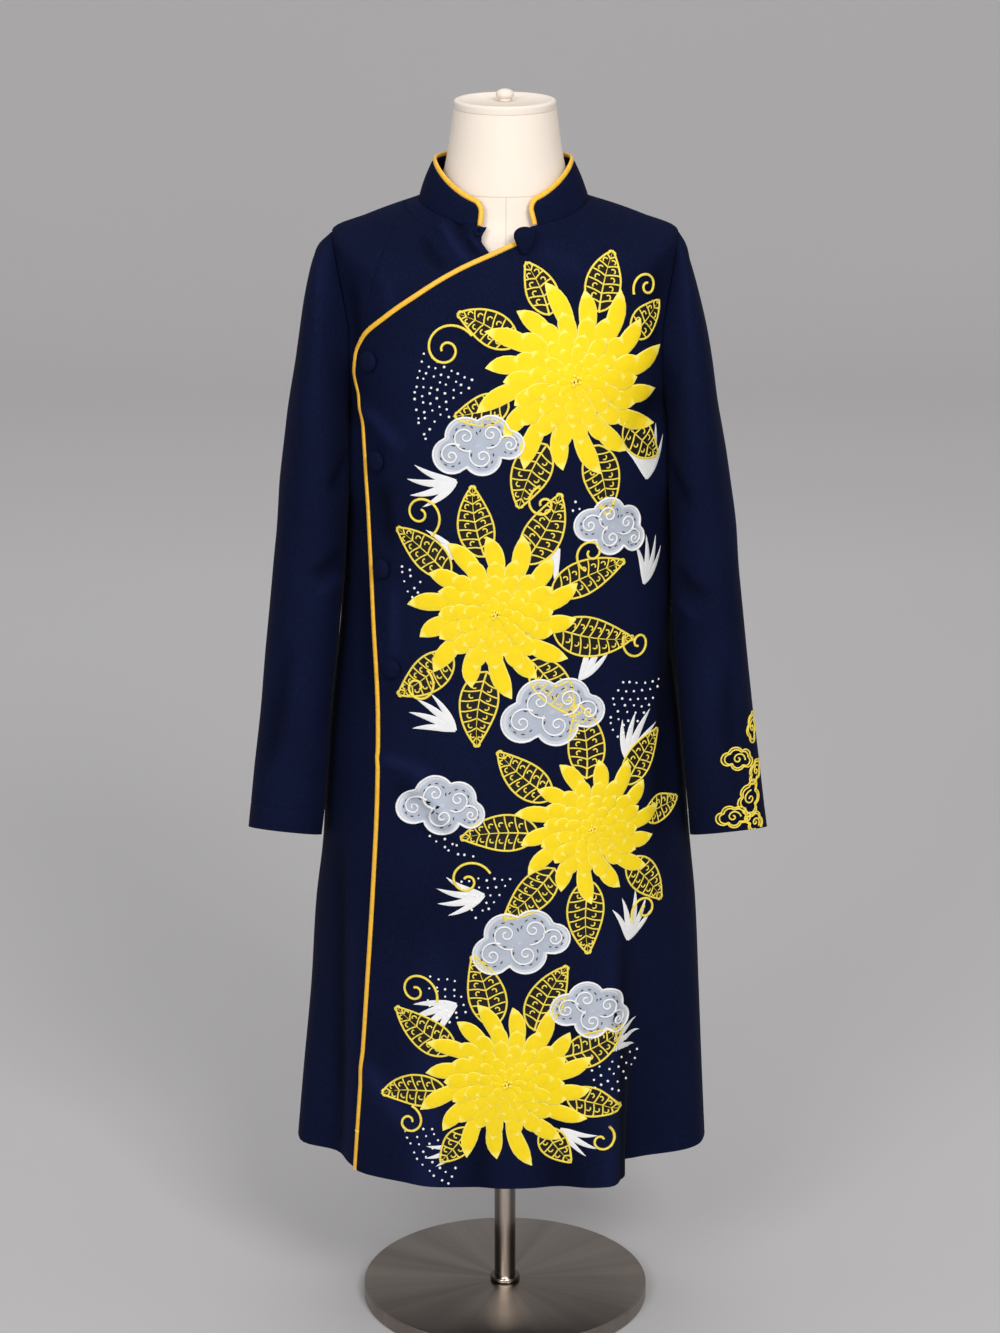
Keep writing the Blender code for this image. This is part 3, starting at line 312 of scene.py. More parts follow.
# Shares of the sleeve's length over which the armhole's shape, the calm seam and the
# fullness of the head give way, and where its even rows start and how far they go
HEAD_BLEND = 0.085
HEAD_CALM = 0.05
HEAD_FULL = 0.075
EVEN_START = 0.006
EVEN_SHARE = 0.950
EVEN_ROWS = 130

# Creases of the front, as seen from the front. A negative height is a trough.
# All heights are multiplied by the strength, and each end fades over a share of the length.
# Columns: name, x and z of one end, x and z of the other, bow, width, height
CREASE_STRENGTH = 2.0
CREASE_FADE = 0.35
# Unevenness of the cloth. Columns: size, height
BODY_RIPPLE = (0.11, 0.0007)
SLEEVE_RIPPLE = (0.08, 0.0009)
COLLAR_RIPPLE = (0.030, 0.0006)
UNDERARM_CREASES = (
    ("under_right_arm", -0.1620, 1.050, -0.1640, 0.930, 0.000, 0.0140, 0.0020),
    ("under_left_arm", 0.1690, 1.050, 0.1710, 0.930, 0.000, 0.0140, 0.0020),
)
FRONT_CREASES = (
    ("hip_ridge", -0.1150, 0.880, -0.1160, 0.765, 0.000, 0.0060, 0.0014),
    ("drag_upper", -0.1420, 0.676, -0.0700, 0.660, -0.003, 0.0065, 0.0026),
    ("drag_lower", -0.1000, 0.672, -0.0360, 0.592, 0.004, 0.0085, 0.0028),
    ("drag_trough", -0.1180, 0.655, -0.0520, 0.585, 0.004, 0.0090, -0.0024),
    ("knee_drag", -0.1600, 0.338, -0.0850, 0.240, 0.004, 0.0095, 0.0026),
    ("left_fold", 0.1290, 0.560, 0.1330, 0.020, 0.001, 0.0058, -0.0022),
    ("left_fold_ridge", 0.1150, 0.540, 0.1180, 0.020, 0.002, 0.0080, 0.0012),
    ("side_valley", 0.1840, 0.860, 0.1660, 0.520, 0.002, 0.0110, -0.0026),
    ("skirt_fold_a", -0.0700, 0.520, -0.0860, 0.020, 0.006, 0.0180, 0.0018),
    ("skirt_fold_b", -0.0300, 0.430, -0.0340, 0.020, -0.004, 0.0150, -0.0016),
    ("skirt_fold_c", 0.0600, 0.460, 0.0740, 0.020, 0.004, 0.0200, -0.0018),
    ("underarm_right", -0.1580, 1.060, -0.1000, 1.004, -0.003, 0.0080, 0.0021),
    ("underarm_left", 0.1700, 1.070, 0.1180, 1.000, 0.004, 0.0085, -0.0020),
    ("shoulder_left", 0.1640, 1.210, 0.1560, 1.090, 0.003, 0.0085, -0.0014),
    ("neck_pull", 0.0300, 1.225, 0.0900, 1.190, 0.002, 0.0090, 0.0008),
    ("waist_soft", -0.1280, 0.985, -0.1180, 0.900, 0.002, 0.0090, -0.0020),
    ("side_fold", -0.1790, 0.620, -0.1835, 0.160, -0.002, 0.0075, -0.0024),
    ("side_ridge", -0.1690, 0.600, -0.1720, 0.100, 0.002, 0.0080, 0.0014),
    ("side_soft", -0.1480, 0.900, -0.1440, 0.700, 0.002, 0.0070, -0.0010),
    ("armhole_right", -0.1640, 1.200, -0.1560, 1.080, -0.003, 0.0080, -0.0012),
) + UNDERARM_CREASES
UNDERLAP_CREASES = (
    ("lapel_soft_a", -0.0700, 1.250, -0.0300, 1.198, 0.004, 0.0046, 0.0020),
    ("lapel_soft_b", -0.0560, 1.256, -0.0220, 1.206, 0.003, 0.0040, -0.0018),
    ("lapel_soft_c", -0.0900, 1.232, -0.0560, 1.192, 0.003, 0.0058, -0.0014),
    ("lapel_soft_d", -0.0480, 1.236, -0.0140, 1.214, 0.002, 0.0030, 0.0010),
    ("shoulder_soft", -0.1250, 1.200, -0.1080, 1.130, 0.003, 0.0080, 0.0009),
)
BACK_CREASES = (
    ("middle_soft", 0.0060, 0.620, -0.0050, 0.020, 0.004, 0.0170, -0.0022),
    ("left_fold", 0.0820, 0.560, 0.0960, 0.020, 0.006, 0.0120, 0.0020),
    ("left_trough", 0.1080, 0.600, 0.1180, 0.020, 0.004, 0.0100, -0.0024),
    ("right_fold", -0.0760, 0.520, -0.0880, 0.020, -0.005, 0.0140, 0.0020),
    ("right_trough", -0.1060, 0.640, -0.1200, 0.020, -0.006, 0.0110, -0.0026),
    ("waist_drag_left", 0.1500, 0.900, 0.0600, 0.832, 0.006, 0.0090, -0.0016),
    ("waist_drag_right", -0.1460, 0.880, -0.0500, 0.806, -0.008, 0.0100, -0.0017),
    ("waist_ridge_right", -0.1400, 0.905, -0.0600, 0.842, -0.006, 0.0080, 0.0012),
    ("blade_left", 0.1480, 1.120, 0.0700, 1.020, 0.006, 0.0100, -0.0014),
    ("blade_right", -0.1460, 1.130, -0.0800, 1.040, -0.005, 0.0110, -0.0014),
    ("neck_soft", -0.0500, 1.205, 0.0420, 1.196, 0.006, 0.0080, -0.0010),
) + UNDERARM_CREASES
# Creases of the sleeves, with degrees round the sleeve in place of x: 0 the inner side,
# 90 the front, 180 the outer side and 270 the back, each degree being SLEEVE_TURN metres
SLEEVE_CREASES_BOTH = (
    ("underarm_front", 4, 1.090, 8, 0.910, 0.000, 0.0200, 0.0010),
    ("underarm_back", 356, 1.090, 356, 0.910, 0.000, 0.0200, 0.0010),
)
SLEEVE_CREASES_RIGHT = (
    ("head_front", 70, 1.200, 62, 1.060, 0.002, 0.0060, -0.0014),
    ("head_back", 284, 1.200, 300, 1.050, 0.002, 0.0070, -0.0016),
    ("elbow_a", 20, 0.900, 96, 0.872, 0.003, 0.0075, -0.0015),
    ("elbow_b", 12, 0.868, 80, 0.850, -0.002, 0.0065, 0.0012),
    ("elbow_c", 282, 0.880, 350, 0.850, 0.003, 0.0080, -0.0016),
    ("forearm", 108, 0.820, 130, 0.640, 0.004, 0.0090, -0.0013),
    ("outer_soft", 176, 1.100, 186, 0.900, 0.003, 0.0110, 0.0012),
    ("underarm", 20, 1.010, 74, 0.960, 0.003, 0.0070, -0.0015),
    ("back_soft", 250, 0.800, 236, 0.620, 0.004, 0.0090, -0.0013),
    ("cuff_inner", 6, 0.720, 6, 0.560, 0.000, 0.0200, 0.0009),
)
SLEEVE_CREASES_LEFT = (
    ("head_front", 66, 1.196, 60, 1.050, -0.002, 0.0065, -0.0016),
    ("head_back", 288, 1.196, 302, 1.060, 0.002, 0.0070, -0.0015),
    ("elbow_a", 24, 0.884, 104, 0.846, 0.004, 0.0080, -0.0014),
    ("elbow_b", 16, 0.846, 76, 0.824, -0.002, 0.0070, 0.0012),
    ("elbow_c", 276, 0.866, 344, 0.828, 0.003, 0.0080, -0.0016),
    ("forearm", 116, 0.800, 104, 0.620, 0.005, 0.0080, -0.0012),
    ("outer_soft", 186, 1.060, 170, 0.860, 0.003, 0.0120, 0.0013),
    ("underarm", 24, 1.000, 80, 0.944, 0.003, 0.0075, -0.0015),
    ("back_soft", 244, 0.760, 256, 0.600, 0.004, 0.0090, -0.0012),
    ("waist_front", 4, 0.900, 4, 0.740, 0.000, 0.0200, 0.0009),
)

# Embroidery of the front panel, as seen from the front
# Columns: number of the blossom, direction, length, width, bend in degrees
LEAVES = (
    (0, 70.0, 0.066, 0.037, -24.0), (0, 112.0, 0.059, 0.032, 22.0),
    (0, 150.0, 0.068, 0.035, 26.0), (0, 196.0, 0.058, 0.032, -20.0),
    (0, 246.0, 0.073, 0.040, 24.0), (0, 284.0, 0.077, 0.040, -22.0),
    (0, 318.0, 0.063, 0.037, 18.0), (0, 36.0, 0.052, 0.032, 20.0),
    (1, 62.0, 0.082, 0.040, 22.0), (1, 100.0, 0.077, 0.037, -24.0),
    (1, 140.0, 0.074, 0.035, 20.0), (1, 222.0, 0.077, 0.037, -22.0),
    (1, 262.0, 0.083, 0.040, 24.0), (1, 306.0, 0.076, 0.037, -18.0),
    (1, 346.0, 0.089, 0.042, 22.0), (1, 20.0, 0.083, 0.037, -18.0),
    (2, 96.0, 0.083, 0.040, 24.0), (2, 138.0, 0.077, 0.037, -22.0),
    (2, 182.0, 0.082, 0.040, 20.0), (2, 226.0, 0.077, 0.037, -20.0),
    (2, 268.0, 0.082, 0.040, 22.0), (2, 312.0, 0.070, 0.035, -20.0),
    (2, 50.0, 0.070, 0.035, -22.0), (2, 6.0, 0.056, 0.030, 16.0),
    (3, 64.0, 0.080, 0.040, -22.0), (3, 104.0, 0.083, 0.040, 22.0),
    (3, 146.0, 0.076, 0.037, -20.0), (3, 188.0, 0.070, 0.035, 18.0),
    (3, 24.0, 0.070, 0.037, 22.0), (3, 344.0, 0.060, 0.033, -20.0),
    (3, 306.0, 0.050, 0.030, 16.0), (3, 232.0, 0.050, 0.030, -16.0),
)
# Columns: x, z, first radius, start and end of the turn in degrees, growth of the radius
TENDRILS = (
    (-0.060, 1.120, 0.030, 30.0, 560.0, 0.16), (0.146, 1.176, 0.018, 200.0, -280.0, 0.20),
    (-0.088, 0.948, 0.026, -60.0, 430.0, 0.18), (0.090, 0.905, 0.020, 250.0, -220.0, 0.20),
    (-0.092, 0.760, 0.022, 60.0, -400.0, 0.18), (0.140, 0.800, 0.022, 150.0, 620.0, 0.18),
    (-0.040, 0.548, 0.026, 20.0, 500.0, 0.16), (0.150, 0.500, 0.020, 210.0, -260.0, 0.20),
    (-0.096, 0.420, 0.026, -20.0, 470.0, 0.16), (0.104, 0.250, 0.018, 60.0, -330.0, 0.20),
    (-0.104, 0.270, 0.018, 80.0, -360.0, 0.22), (0.040, 0.960, 0.020, 100.0, 560.0, 0.18),
)
# Sprays of white blades. Columns: x, z, direction, length, blades, curl
SPRAYS = (
    (0.148, 0.975, 78.0, 0.066, 5, 26.0), (0.146, 0.862, 62.0, 0.056, 4, 30.0),
    (-0.050, 0.985, 205.0, 0.056, 4, -28.0), (-0.048, 0.905, 160.0, 0.052, 4, 24.0),
    (0.056, 0.912, 235.0, 0.050, 3, 30.0), (-0.052, 0.715, 140.0, 0.056, 4, 26.0),
    (0.130, 0.672, 72.0, 0.060, 5, -26.0), (0.078, 0.768, 45.0, 0.050, 3, 30.0),
    (-0.022, 0.532, 196.0, 0.054, 4, -26.0), (0.132, 0.470, 66.0, 0.056, 5, 28.0),
    (0.112, 0.352, 30.0, 0.054, 4, -24.0), (-0.052, 0.408, 200.0, 0.056, 4, 26.0),
    (-0.046, 0.246, 215.0, 0.044, 3, -24.0), (0.060, 0.262, 320.0, 0.046, 3, 24.0),
)
# Fans of white knots, row behind row. Columns: x, z, direction, spread, near, far, rows
KNOT_FANS = (
    (0.006, 1.072, 188.0, 74.0, 0.044, 0.098, 8), (-0.014, 0.900, 186.0, 60.0, 0.046, 0.094, 7),
    (0.066, 0.985, 262.0, 70.0, 0.024, 0.060, 5), (0.092, 0.770, 318.0, 62.0, 0.034, 0.074, 6),
    (-0.020, 0.668, 236.0, 56.0, 0.052, 0.094, 6), (0.040, 0.556, 212.0, 60.0, 0.034, 0.086, 7),
    (0.030, 0.420, 196.0, 56.0, 0.058, 0.112, 7), (0.086, 0.352, 312.0, 66.0, 0.024, 0.062, 5),
    (-0.026, 0.276, 218.0, 60.0, 0.044, 0.084, 5),
)
KNOT_STEP = 0.0086
# Outline clouds on the wearer's left cuff. Columns: x, z, size, tilt
CUFF_CLOUDS = (
    (0.263, 0.7000, 0.0165, 70.0), (0.248, 0.6700, 0.0180, -12.0), (0.268, 0.6520, 0.0150, 40.0),
    (0.262, 0.6240, 0.0200, 84.0), (0.244, 0.6050, 0.0180, 4.0), (0.268, 0.5960, 0.0150, -50.0),
)
# Rings of a blossom, from the long outer flames to the heart
# Columns: root and length in shares of the radius, petals fewer, width, lift, curl
BLOSSOM_RINGS = (
    (0.52, 0.98, 2, 0.70, 0.00130, 34.0), (0.46, 0.58, 0, 1.06, 0.00160, 14.0),
    (0.29, 0.48, 3, 1.12, 0.00190, -8.0), (0.15, 0.40, 6, 1.12, 0.00220, 8.0),
    (0.04, 0.28, 8, 1.10, 0.00250, -6.0),
)
PETAL_RISE = 0.00050
# Radii of the laid cords, and lifts above the cloth that keep one thread over another
TENDRIL_CORD = 0.0014
CUFF_CORD = 0.0009
CLOUD_EDGE_CORD = 0.0012
SCROLL_CORD = 0.0010
DASH_CORD = 0.0005
LEAF_EDGE_CORD = 0.00115
MIDRIB_CORD = 0.0012
VEIN_CORD = 0.00085
LOOP_STITCH_CORD = 0.00080
ON_CLOTH = 0.00005
LOW_LIFT = 0.0002
CORD_LIFT = 0.0003
CLOUD_LIFT = 0.0005
CLOUD_RISE = 0.0004
SCROLL_LIFT = 0.0009
DASH_LIFT = 0.0010
LEAF_LIFT = 0.00045
FLAT_CORD = 0.55
VEIN_FLATNESS = 0.6
VEIN_SPACING = 0.0100
HEART_LIFT = 0.0030

# Share of a blossom's radius at which its leaves start
LEAF_START = 1.02

# Camera, light and stage. The room's light is dimmer at the sides.
CAMERA_LENS = 103.03
CAMERA_SHIFT = -0.00375
CAMERA_PLACE = (0.0, -3.941, 1.965)
CAMERA_TILT = 17.2
ROOM_LIGHT = 0.64
SIDE_LIGHT = 0.22
STAGE_NEAR = "#bcbabb"
STAGE_FAR = "#d3d1d2"
# Profile of the pale sweep: y and z of its floor, curve and wall
SWEEP_FLOOR = -9.0
SWEEP_CURVE = 4.5
SWEEP_RADIUS = 3.0
SWEEP_TOP = 9.0
SWEEP_HALF = 9.0
# Columns: name, place, aim, size, power, colour
LIGHTS = (
    ("key softbox", (1.5, -3.9, 3.6), (0.0, 0.0, 0.8), (1.7, 1.3), 118.0, (1.0, 0.99, 0.97)),
    ("fill softbox", (-1.8, -4.0, 3.0), (0.0, 0.0, 0.8), (1.8, 1.5), 74.0, (0.98, 0.99, 1.0)),
    ("top softbox", (0.0, 0.4, 4.2), (0.0, 0.2, 0.4), (3.2, 2.6), 30.0, (1.0, 1.0, 1.0)),
    ("low strip", (0.10, -2.6, 0.55), (0.0, 0.0, 0.12), (0.16, 0.9), 2.9, (1.0, 0.98, 0.95)),
)

# Cut of each cloth piece without allowances. Columns: node, width, length, area, held
CUTS = (
    ("front_overlap", 0.495, 1.085, 0.423, "hung"), ("side_front_right", 0.145, 1.070, 0.123, "hung"),
    ("front_underlap", 0.129, 1.082, 0.088, "hung"), ("back", 0.616, 1.095, 0.539, "hung"),
    ("sleeve_left", 0.326, 0.658, 0.174, "hung"), ("sleeve_right", 0.326, 0.658, 0.174, "hung"),
    ("collar", 0.445, 0.042, 0.0163, "folded"),
)

# Materials: the crease height that gives the full shade, and the seams of the cover
CREASE_REACH = 0.0045
CREASE_SHADE = 0.75
FORM_SEAM_LEVEL = 1.2672
COVER_SEAM_WIDTH = 0.0009
COVER_SEAM_COLOUR = "#a08f7c"


class Curve:
    """A smooth curve through (position, value) pairs that never overshoots them."""

    def __init__(self, positions, values):
        pairs = sorted(zip(positions, values))
        self.positions = [pair[0] for pair in pairs]
        self.values = [pair[1] for pair in pairs]
        rises = []
        for low, high in zip(pairs, pairs[1:]):
            rises.append((high[1] - low[1]) / (high[0] - low[0]))
        self.slopes = [rises[0]]
        for before, after in zip(rises, rises[1:]):
            level = before * after <= 0.0
            self.slopes.append(0.0 if level else 2.0 * before * after / (before + after))
        self.slopes.append(rises[-1])

    def __call__(self, position):
        position = min(max(position, self.positions[0]), self.positions[-1])
        i = min(bisect.bisect_right(self.positions, position), len(self.positions) - 1) - 1
        span = self.positions[i + 1] - self.positions[i]
        t = (position - self.positions[i]) / span
        start = (1 + 2 * t) * (1 - t) ** 2 * self.values[i]
        start += t * (1 - t) ** 2 * span * self.slopes[i]
        end = t * t * (3 - 2 * t) * self.values[i + 1]
        return start + end + t * t * (t - 1) * span * self.slopes[i + 1]


def table_curves(columns, rows, key):
    """One curve for each numeric column of a table, against the key column."""
    at = columns.index(key)
    keys = [row[at] for row in rows]
    return {name: Curve(keys, [row[i] for row in rows])
            for i, name in enumerate(columns) if name != "name"}


def smooth_step(value):
    value = min(max(value, 0.0), 1.0)
    return value * value * (3.0 - 2.0 * value)


def signed_power(value, power):
    return math.copysign(abs(value) ** power, value)


def angle_between(first, second):
    """Signed difference of two angles in degrees, from -180 to 180."""
    return (first - second + 180.0) % 360.0 - 180.0


class Rings:
    """A closed surface of rings. point() and normal() take a level and an angle."""

    def __init__(self, columns, rows, folds=()):
        self.curves = table_curves(columns, rows, "level")
        self.two_sided = "left" in columns
        self.folds = folds
        self.cache = {}

    def ring(self, level):
        if level not in self.cache:
            self.cache[level] = {name: curve(level) for name, curve in self.curves.items()}
        return self.cache[level]

    def base_point(self, level, angle):
        ring = self.ring(level)
        c = math.cos(math.radians(angle))
        s = math.sin(math.radians(angle))
        power = 2.0 / ring["roundness"]
        if self.two_sided:
            half = ring["left"] if s > 0 else ring["right"]
        else:
            half = ring["half"]
        depth = ring["front"] if c > 0 else ring["back"]
        end_z = ring["front_z"] if c > 0 else ring["back_z"]
        x = half * signed_power(s, power)
        y = -depth * signed_power(c, power)
        z = ring["side_z"] + (end_z - ring["side_z"]) * abs(c) ** RING_DIP
        return Vector((x, y, z))

    def point(self, level, angle):
        place = self.base_point(level, angle)
        push = 0.0
        for name, middle, before, after, depth, top in self.folds:
            away = angle_between(angle, middle)
            away = away / after if away > 0.0 else -away / before
            if level >= top or away >= 1.0:
                continue
            fade = (top - level) / (top - HEM_LEVEL)
            push += depth * fade ** 1.3 * 0.5 * (1.0 + math.cos(math.pi * away))
        if push:
            along = self.base_point(level, angle + ANGLE_STEP)
            along -= self.base_point(level, angle - ANGLE_STEP)
            place += push * Vector((along.y, -along.x, 0.0)).normalized()
        return place

    def normal(self, level, angle):
        low = self.ring_limit(level - LEVEL_REACH)
        high = self.ring_limit(level + LEVEL_REACH)
        up = self.point(high, angle) - self.point(low, angle)
        return self.along(level, angle, WIDE_STEP).cross(up).normalized()

    def ring_limit(self, level):
        levels = self.curves["level"].positions
        return min(max(level, levels[0]), levels[-1])

    def along(self, level, angle, step=ANGLE_STEP):
        return self.point(level, angle + step) - self.point(level, angle - step)

    def raised(self, level, angle, height):
        return self.point(level, angle) + self.normal(level, angle) * height

    def speed(self, level, angle):
        """Metres travelled round the ring for one degree."""
        return self.along(level, angle).length

    def angle_on_line(self, level, x_of_z, low, high):
        """The angle where a ring crosses a line drawn on the front, by halving."""
        def off(angle):
            place = self.point(level, angle)
            return place.x - x_of_z(place.z)
        if off(low) >= 0.0:
            return low
        if off(high) <= 0.0:
            return high
        for _ in range(HALVINGS):
            middle = 0.5 * (low + high)
            if off(middle) < 0.0:
                low = middle
            else:
                high = middle
        return 0.5 * (low + high)


coat = Rings(COAT_COLUMNS, COAT_RINGS, FOLDS)
form = Rings(FORM_COLUMNS, FORM_RINGS)
piping_x = Curve(*zip(*PIPING_LINE))
front_seam_x = Curve(*zip(*FRONT_SEAM))
underlap_x = Curve(*zip(*UNDERLAP_EDGE))


def armhole_reach(level, back):
    """How many degrees the armhole's edge lies in front of or behind the side."""
    share = (level - ARMHOLE_MIDDLE) / ARMHOLE_HALF
    return math.sqrt(max(1.0 - share * share, 0.0)) * (BACK_REACH if back else FRONT_REACH)


def piping_angle(level):
    return coat.angle_on_line(level, piping_x, -89.0, 30.0)


def front_seam_angle(level):
    if level >= FRONT_SEAM_TOP:
        return -90.0
    return coat.angle_on_line(level, front_seam_x, -90.0, 0.0)


def underlap_angle(level):
    return coat.angle_on_line(level, underlap_x, -80.0, 30.0)


def beside_piping(level, distance):
    """The angle on a ring that lies this far from the piping's middle, square to it."""
    angle = piping_angle(level)
    low = coat.ring_limit(level - SEAM_REACH)
    high = coat.ring_limit(level + SEAM_REACH)
    along = coat.point(high, piping_angle(high)) - coat.point(low, piping_angle(low))
    across = coat.normal(level, angle).cross(along).normalized()
    around = coat.along(level, angle).normalized()
    shift = distance / max(abs(across.dot(around)), LEAST_CROSSING)
    return angle + shift / coat.speed(level, angle)


def overlap_height(level, angle):
    """The overlap lies over the underlap and comes down to the body beyond it."""
    place = coat.point(level, angle)
    past = place.x - (underlap_x(place.z) + OVERLAP_START)
    return OVERLAP_RISE * (1.0 - smooth_step(past / OVERLAP_FADE))


def underlap_height(level, angle):
    """The underlap sinks a little once it is under the overlap."""
    inside = (angle - piping_angle(level)) * coat.speed(level, angle)
    return -UNDERLAP_SINK * smooth_step(inside / UNDERLAP_FADE)


def side_angle(level, side, back):
    """Edge of a front or back panel at the side seam, armhole or shoulder seam."""
    reach = armhole_reach(level, back)
    gap = 0.5 * SEAM_GAP / coat.speed(level, 90.0 * side)
    return side * (90.0 + reach + gap) if back else side * (90.0 - reach - gap)


def seam_beside(level, angle, side):
    return angle + side * 0.5 * SEAM_GAP / coat.speed(level, angle)


# Finer model


def armhole_loop(side, count):
    """Points and directions round the armhole, from the underarm up the front edge."""
    loop = []
    for i in range(count):
        turn = 2.0 * math.pi * i / count
        back = turn > math.pi
        level = ARMHOLE_MIDDLE - ARMHOLE_HALF * math.cos(turn)
        reach = armhole_reach(level, back)
        angle = side * (90.0 + reach if back else 90.0 - reach)
        around = coat.along(level, angle)
        up = coat.point(level + LEVEL_REACH, angle) - coat.point(level - LEVEL_REACH, angle)
        out = around.normalized() * side * math.sin(turn) + up.normalized() * math.cos(turn)
        loop.append((coat.point(level, angle), coat.normal(level, angle), out.normalized()))
    return loop


def crease_height(table, u, z):
    """Sum of the soft creases at a place. Each one is a bowed line with a round section."""
    total = 0.0
    for name, u0, z0, u1, z1, bow, width, height in table:
        du = u1 - u0
        dz = z1 - z0
        length = math.hypot(du, dz)
        along = ((u - u0) * du + (z - z0) * dz) / (length * length)
        if along <= 0.0 or along >= 1.0:
            continue
        aside = ((u - u0) * dz - (z - z0) * du) / length - bow * 4.0 * along * (1.0 - along)
        if abs(aside) > 3.0 * width:
            continue
        fade = smooth_step(min(along, 1.0 - along) / CREASE_FADE)
        total += height * fade * math.exp(-(aside / width) ** 2)
    return total * CREASE_STRENGTH


def ripple(place, size, height):
    """Small unevenness of the cloth, the same at each run."""
    return height * noise.noise(place / size)


def mesh_object(name, points, faces, sharp_angle=60.0):
    mesh = bpy.data.meshes.new(name)
    mesh.from_pydata([tuple(p) for p in points], [], faces)
    mesh.update()
    mesh.shade_smooth()
    mesh.set_sharp_from_angle(angle=math.radians(sharp_angle))
    made = bpy.data.objects.new(name, mesh)
    bpy.context.collection.objects.link(made)
    return made


def grid_normals(grid, closed):
    rows = len(grid)
    columns = len(grid[0])
    result = []
    for i in range(rows):
        row = []
        for j in range(columns):
            up = grid[min(i + 1, rows - 1)][j] - grid[max(i - 1, 0)][j]
            if closed:
                across = grid[i][(j + 1) % columns] - grid[i][j - 1]
            else:
                across = grid[i][min(j + 1, columns - 1)] - grid[i][max(j - 1, 0)]
            row.append(across.cross(up).normalized())
        result.append(row)
    return result


def strip(low, high, closed=False):
    """Faces between two rows of point numbers, counted low, low, high, high."""
    faces = list(zip(low, low[1:] + low[:1], high[1:] + high[:1], high))
    return faces if closed else faces[:-1]


def cross_strip(low, high, closed=False):
    """Faces between two rows of point numbers, counted low, high, high, low."""
    faces = list(zip(low, high, high[1:] + high[:1], low[1:] + low[:1]))
    return faces if closed else faces[:-1]


def numbered(rows, columns, first=0):
    """The point numbers of a grid, row by row."""
    return [list(range(first + i * columns, first + (i + 1) * columns)) for i in range(rows)]


def shell(name, outer, inner, closed=False):
    """A thin closed wall between two grids."""
    rows = len(outer)
    columns = len(outer[0])
    points = [p for grid in (outer, inner) for row in grid for p in row]
    out = numbered(rows, columns)
    back = numbered(rows, columns, rows * columns)
    faces = []
    for row in range(rows - 1):
        for pair in zip(strip(out[row], out[row + 1], closed), strip(back[row + 1], back[row], closed)):
            faces += pair
    for pair in zip(strip(back[0], out[0], closed), strip(out[-1], back[-1], closed)):
        faces += pair
    if not closed:
        sides = [[row[at] for row in grid] for grid, at in
                 ((out, 0), (back, 0), (back, -1), (out, -1))]
        for pair in zip(strip(sides[0], sides[1]), strip(sides[2], sides[3])):
            faces += pair
    return mesh_object(name, points, faces)


def ring_angles(level, start, end, columns):
    """Angles from edge to edge by length of cloth, with close columns at both edges."""
    samples = 72
    angles = [start + (end - start) * i / samples for i in range(samples + 1)]
    places = [coat.point(level, angle) for angle in angles]
    lengths = [0.0]
    for low, high in zip(places, places[1:]):
        lengths.append(lengths[-1] + (high - low).length)
    whole = lengths[-1]
    inset = [d * min(1.0, whole / FULL_EDGE_WIDTH) for d in EDGE_COLUMNS]
    wanted = inset[:-1]
    wanted += [inset[-1] + (whole - 2.0 * inset[-1]) * i / columns for i in range(columns + 1)]
    wanted += [whole - d for d in reversed(inset[:-1])]
    result = []
    for d in wanted:
        j = min(max(bisect.bisect_left(lengths, d), 1), samples)
        share = (d - lengths[j - 1]) / max(lengths[j] - lengths[j - 1], 1e-9)
        result.append((angles[j - 1] + (angles[j] - angles[j - 1]) * share, min(d, whole - d)))
    return result


def edge_roll(distance):
    """How far a pressed seam edge turns down at this distance from it."""
    return EDGE_DROP * (1.0 - smooth_step(distance / EDGE_WIDTH))


def hem_mark(distance):
    """The hem's blind stitches pull a shallow line into the cloth."""
    return -HEM_MARK * math.exp(-((distance - HEM_DEPTH) / HEM_MARK_WIDTH) ** 2)


def fine_levels(top):
    """Levels from the hem up, close together at the hem's edge, its stitches and the top."""
    levels = [HEM_LEVEL + d for d in (0.0, 0.0004, 0.001, 0.002, 0.004, 0.010, 0.017, 0.022)]
    levels += [HEM_LEVEL + HEM_DEPTH + 0.0007 * i for i in range(-3, 4)]
    levels += [HEM_LEVEL + 0.031]
    start = levels[-1]
    steps = round((top - 0.006 - start) / LEVEL_STEP)
    levels += [start + (top - 0.006 - start) * i / steps for i in range(1, steps + 1)]
    levels += [top - d for d in (0.004, 0.0022, 0.0012, 0.0005, 0.0)]
    if top > FRONT_SEAM_TOP:
        levels += [FRONT_SEAM_TOP - FRONT_SEAM_STEP - SEAM_GAP, FRONT_SEAM_TOP - FRONT_SEAM_STEP]
    return sorted(levels)


def cloth_panel(name, top, left_edge, right_edge, columns, height, creases, calm,
                rolled=(True, True)):
    """A finely divided panel of the coat. Its creases die out at the calm edges."""
    levels = fine_levels(top)
    grid = []
    heights = []
    reliefs = []
    for level in levels:
        row = []
        row_heights = []
        around = ring_angles(level, left_edge(level), right_edge(level), columns)
        half = len(around) // 2
        for j, (angle, distance) in enumerate(around):
            place = coat.point(level, angle)
            lift = crease_height(creases, place.x, place.z) + ripple(place, *BODY_RIPPLE)
            if calm[0 if j < half else 1]:
                lift *= smooth_step(distance / CALM_WIDTH)
            reliefs.append(lift)
            lift += height(level, angle)
            if rolled[0 if j < half else 1]:
                lift -= edge_roll(distance)
            lift += hem_mark(level - HEM_LEVEL)
            lift -= edge_roll(2.0 * (top - level)) if top - level < EDGE_WIDTH else 0.0
            row.append(place)
            row_heights.append(lift)
        grid.append(row)
        heights.append(row_heights)
    rows = list(zip(grid, grid_normals(grid, False), heights))
    outer = [[p + n * h for p, n, h in zip(*row)] for row in rows]
    inner = [[p + n * (h - CLOTH) for p, n, h in zip(*row)] for row in rows]
    made = shell(name, outer, inner)
    keep_relief(made, reliefs)
    return made, outer


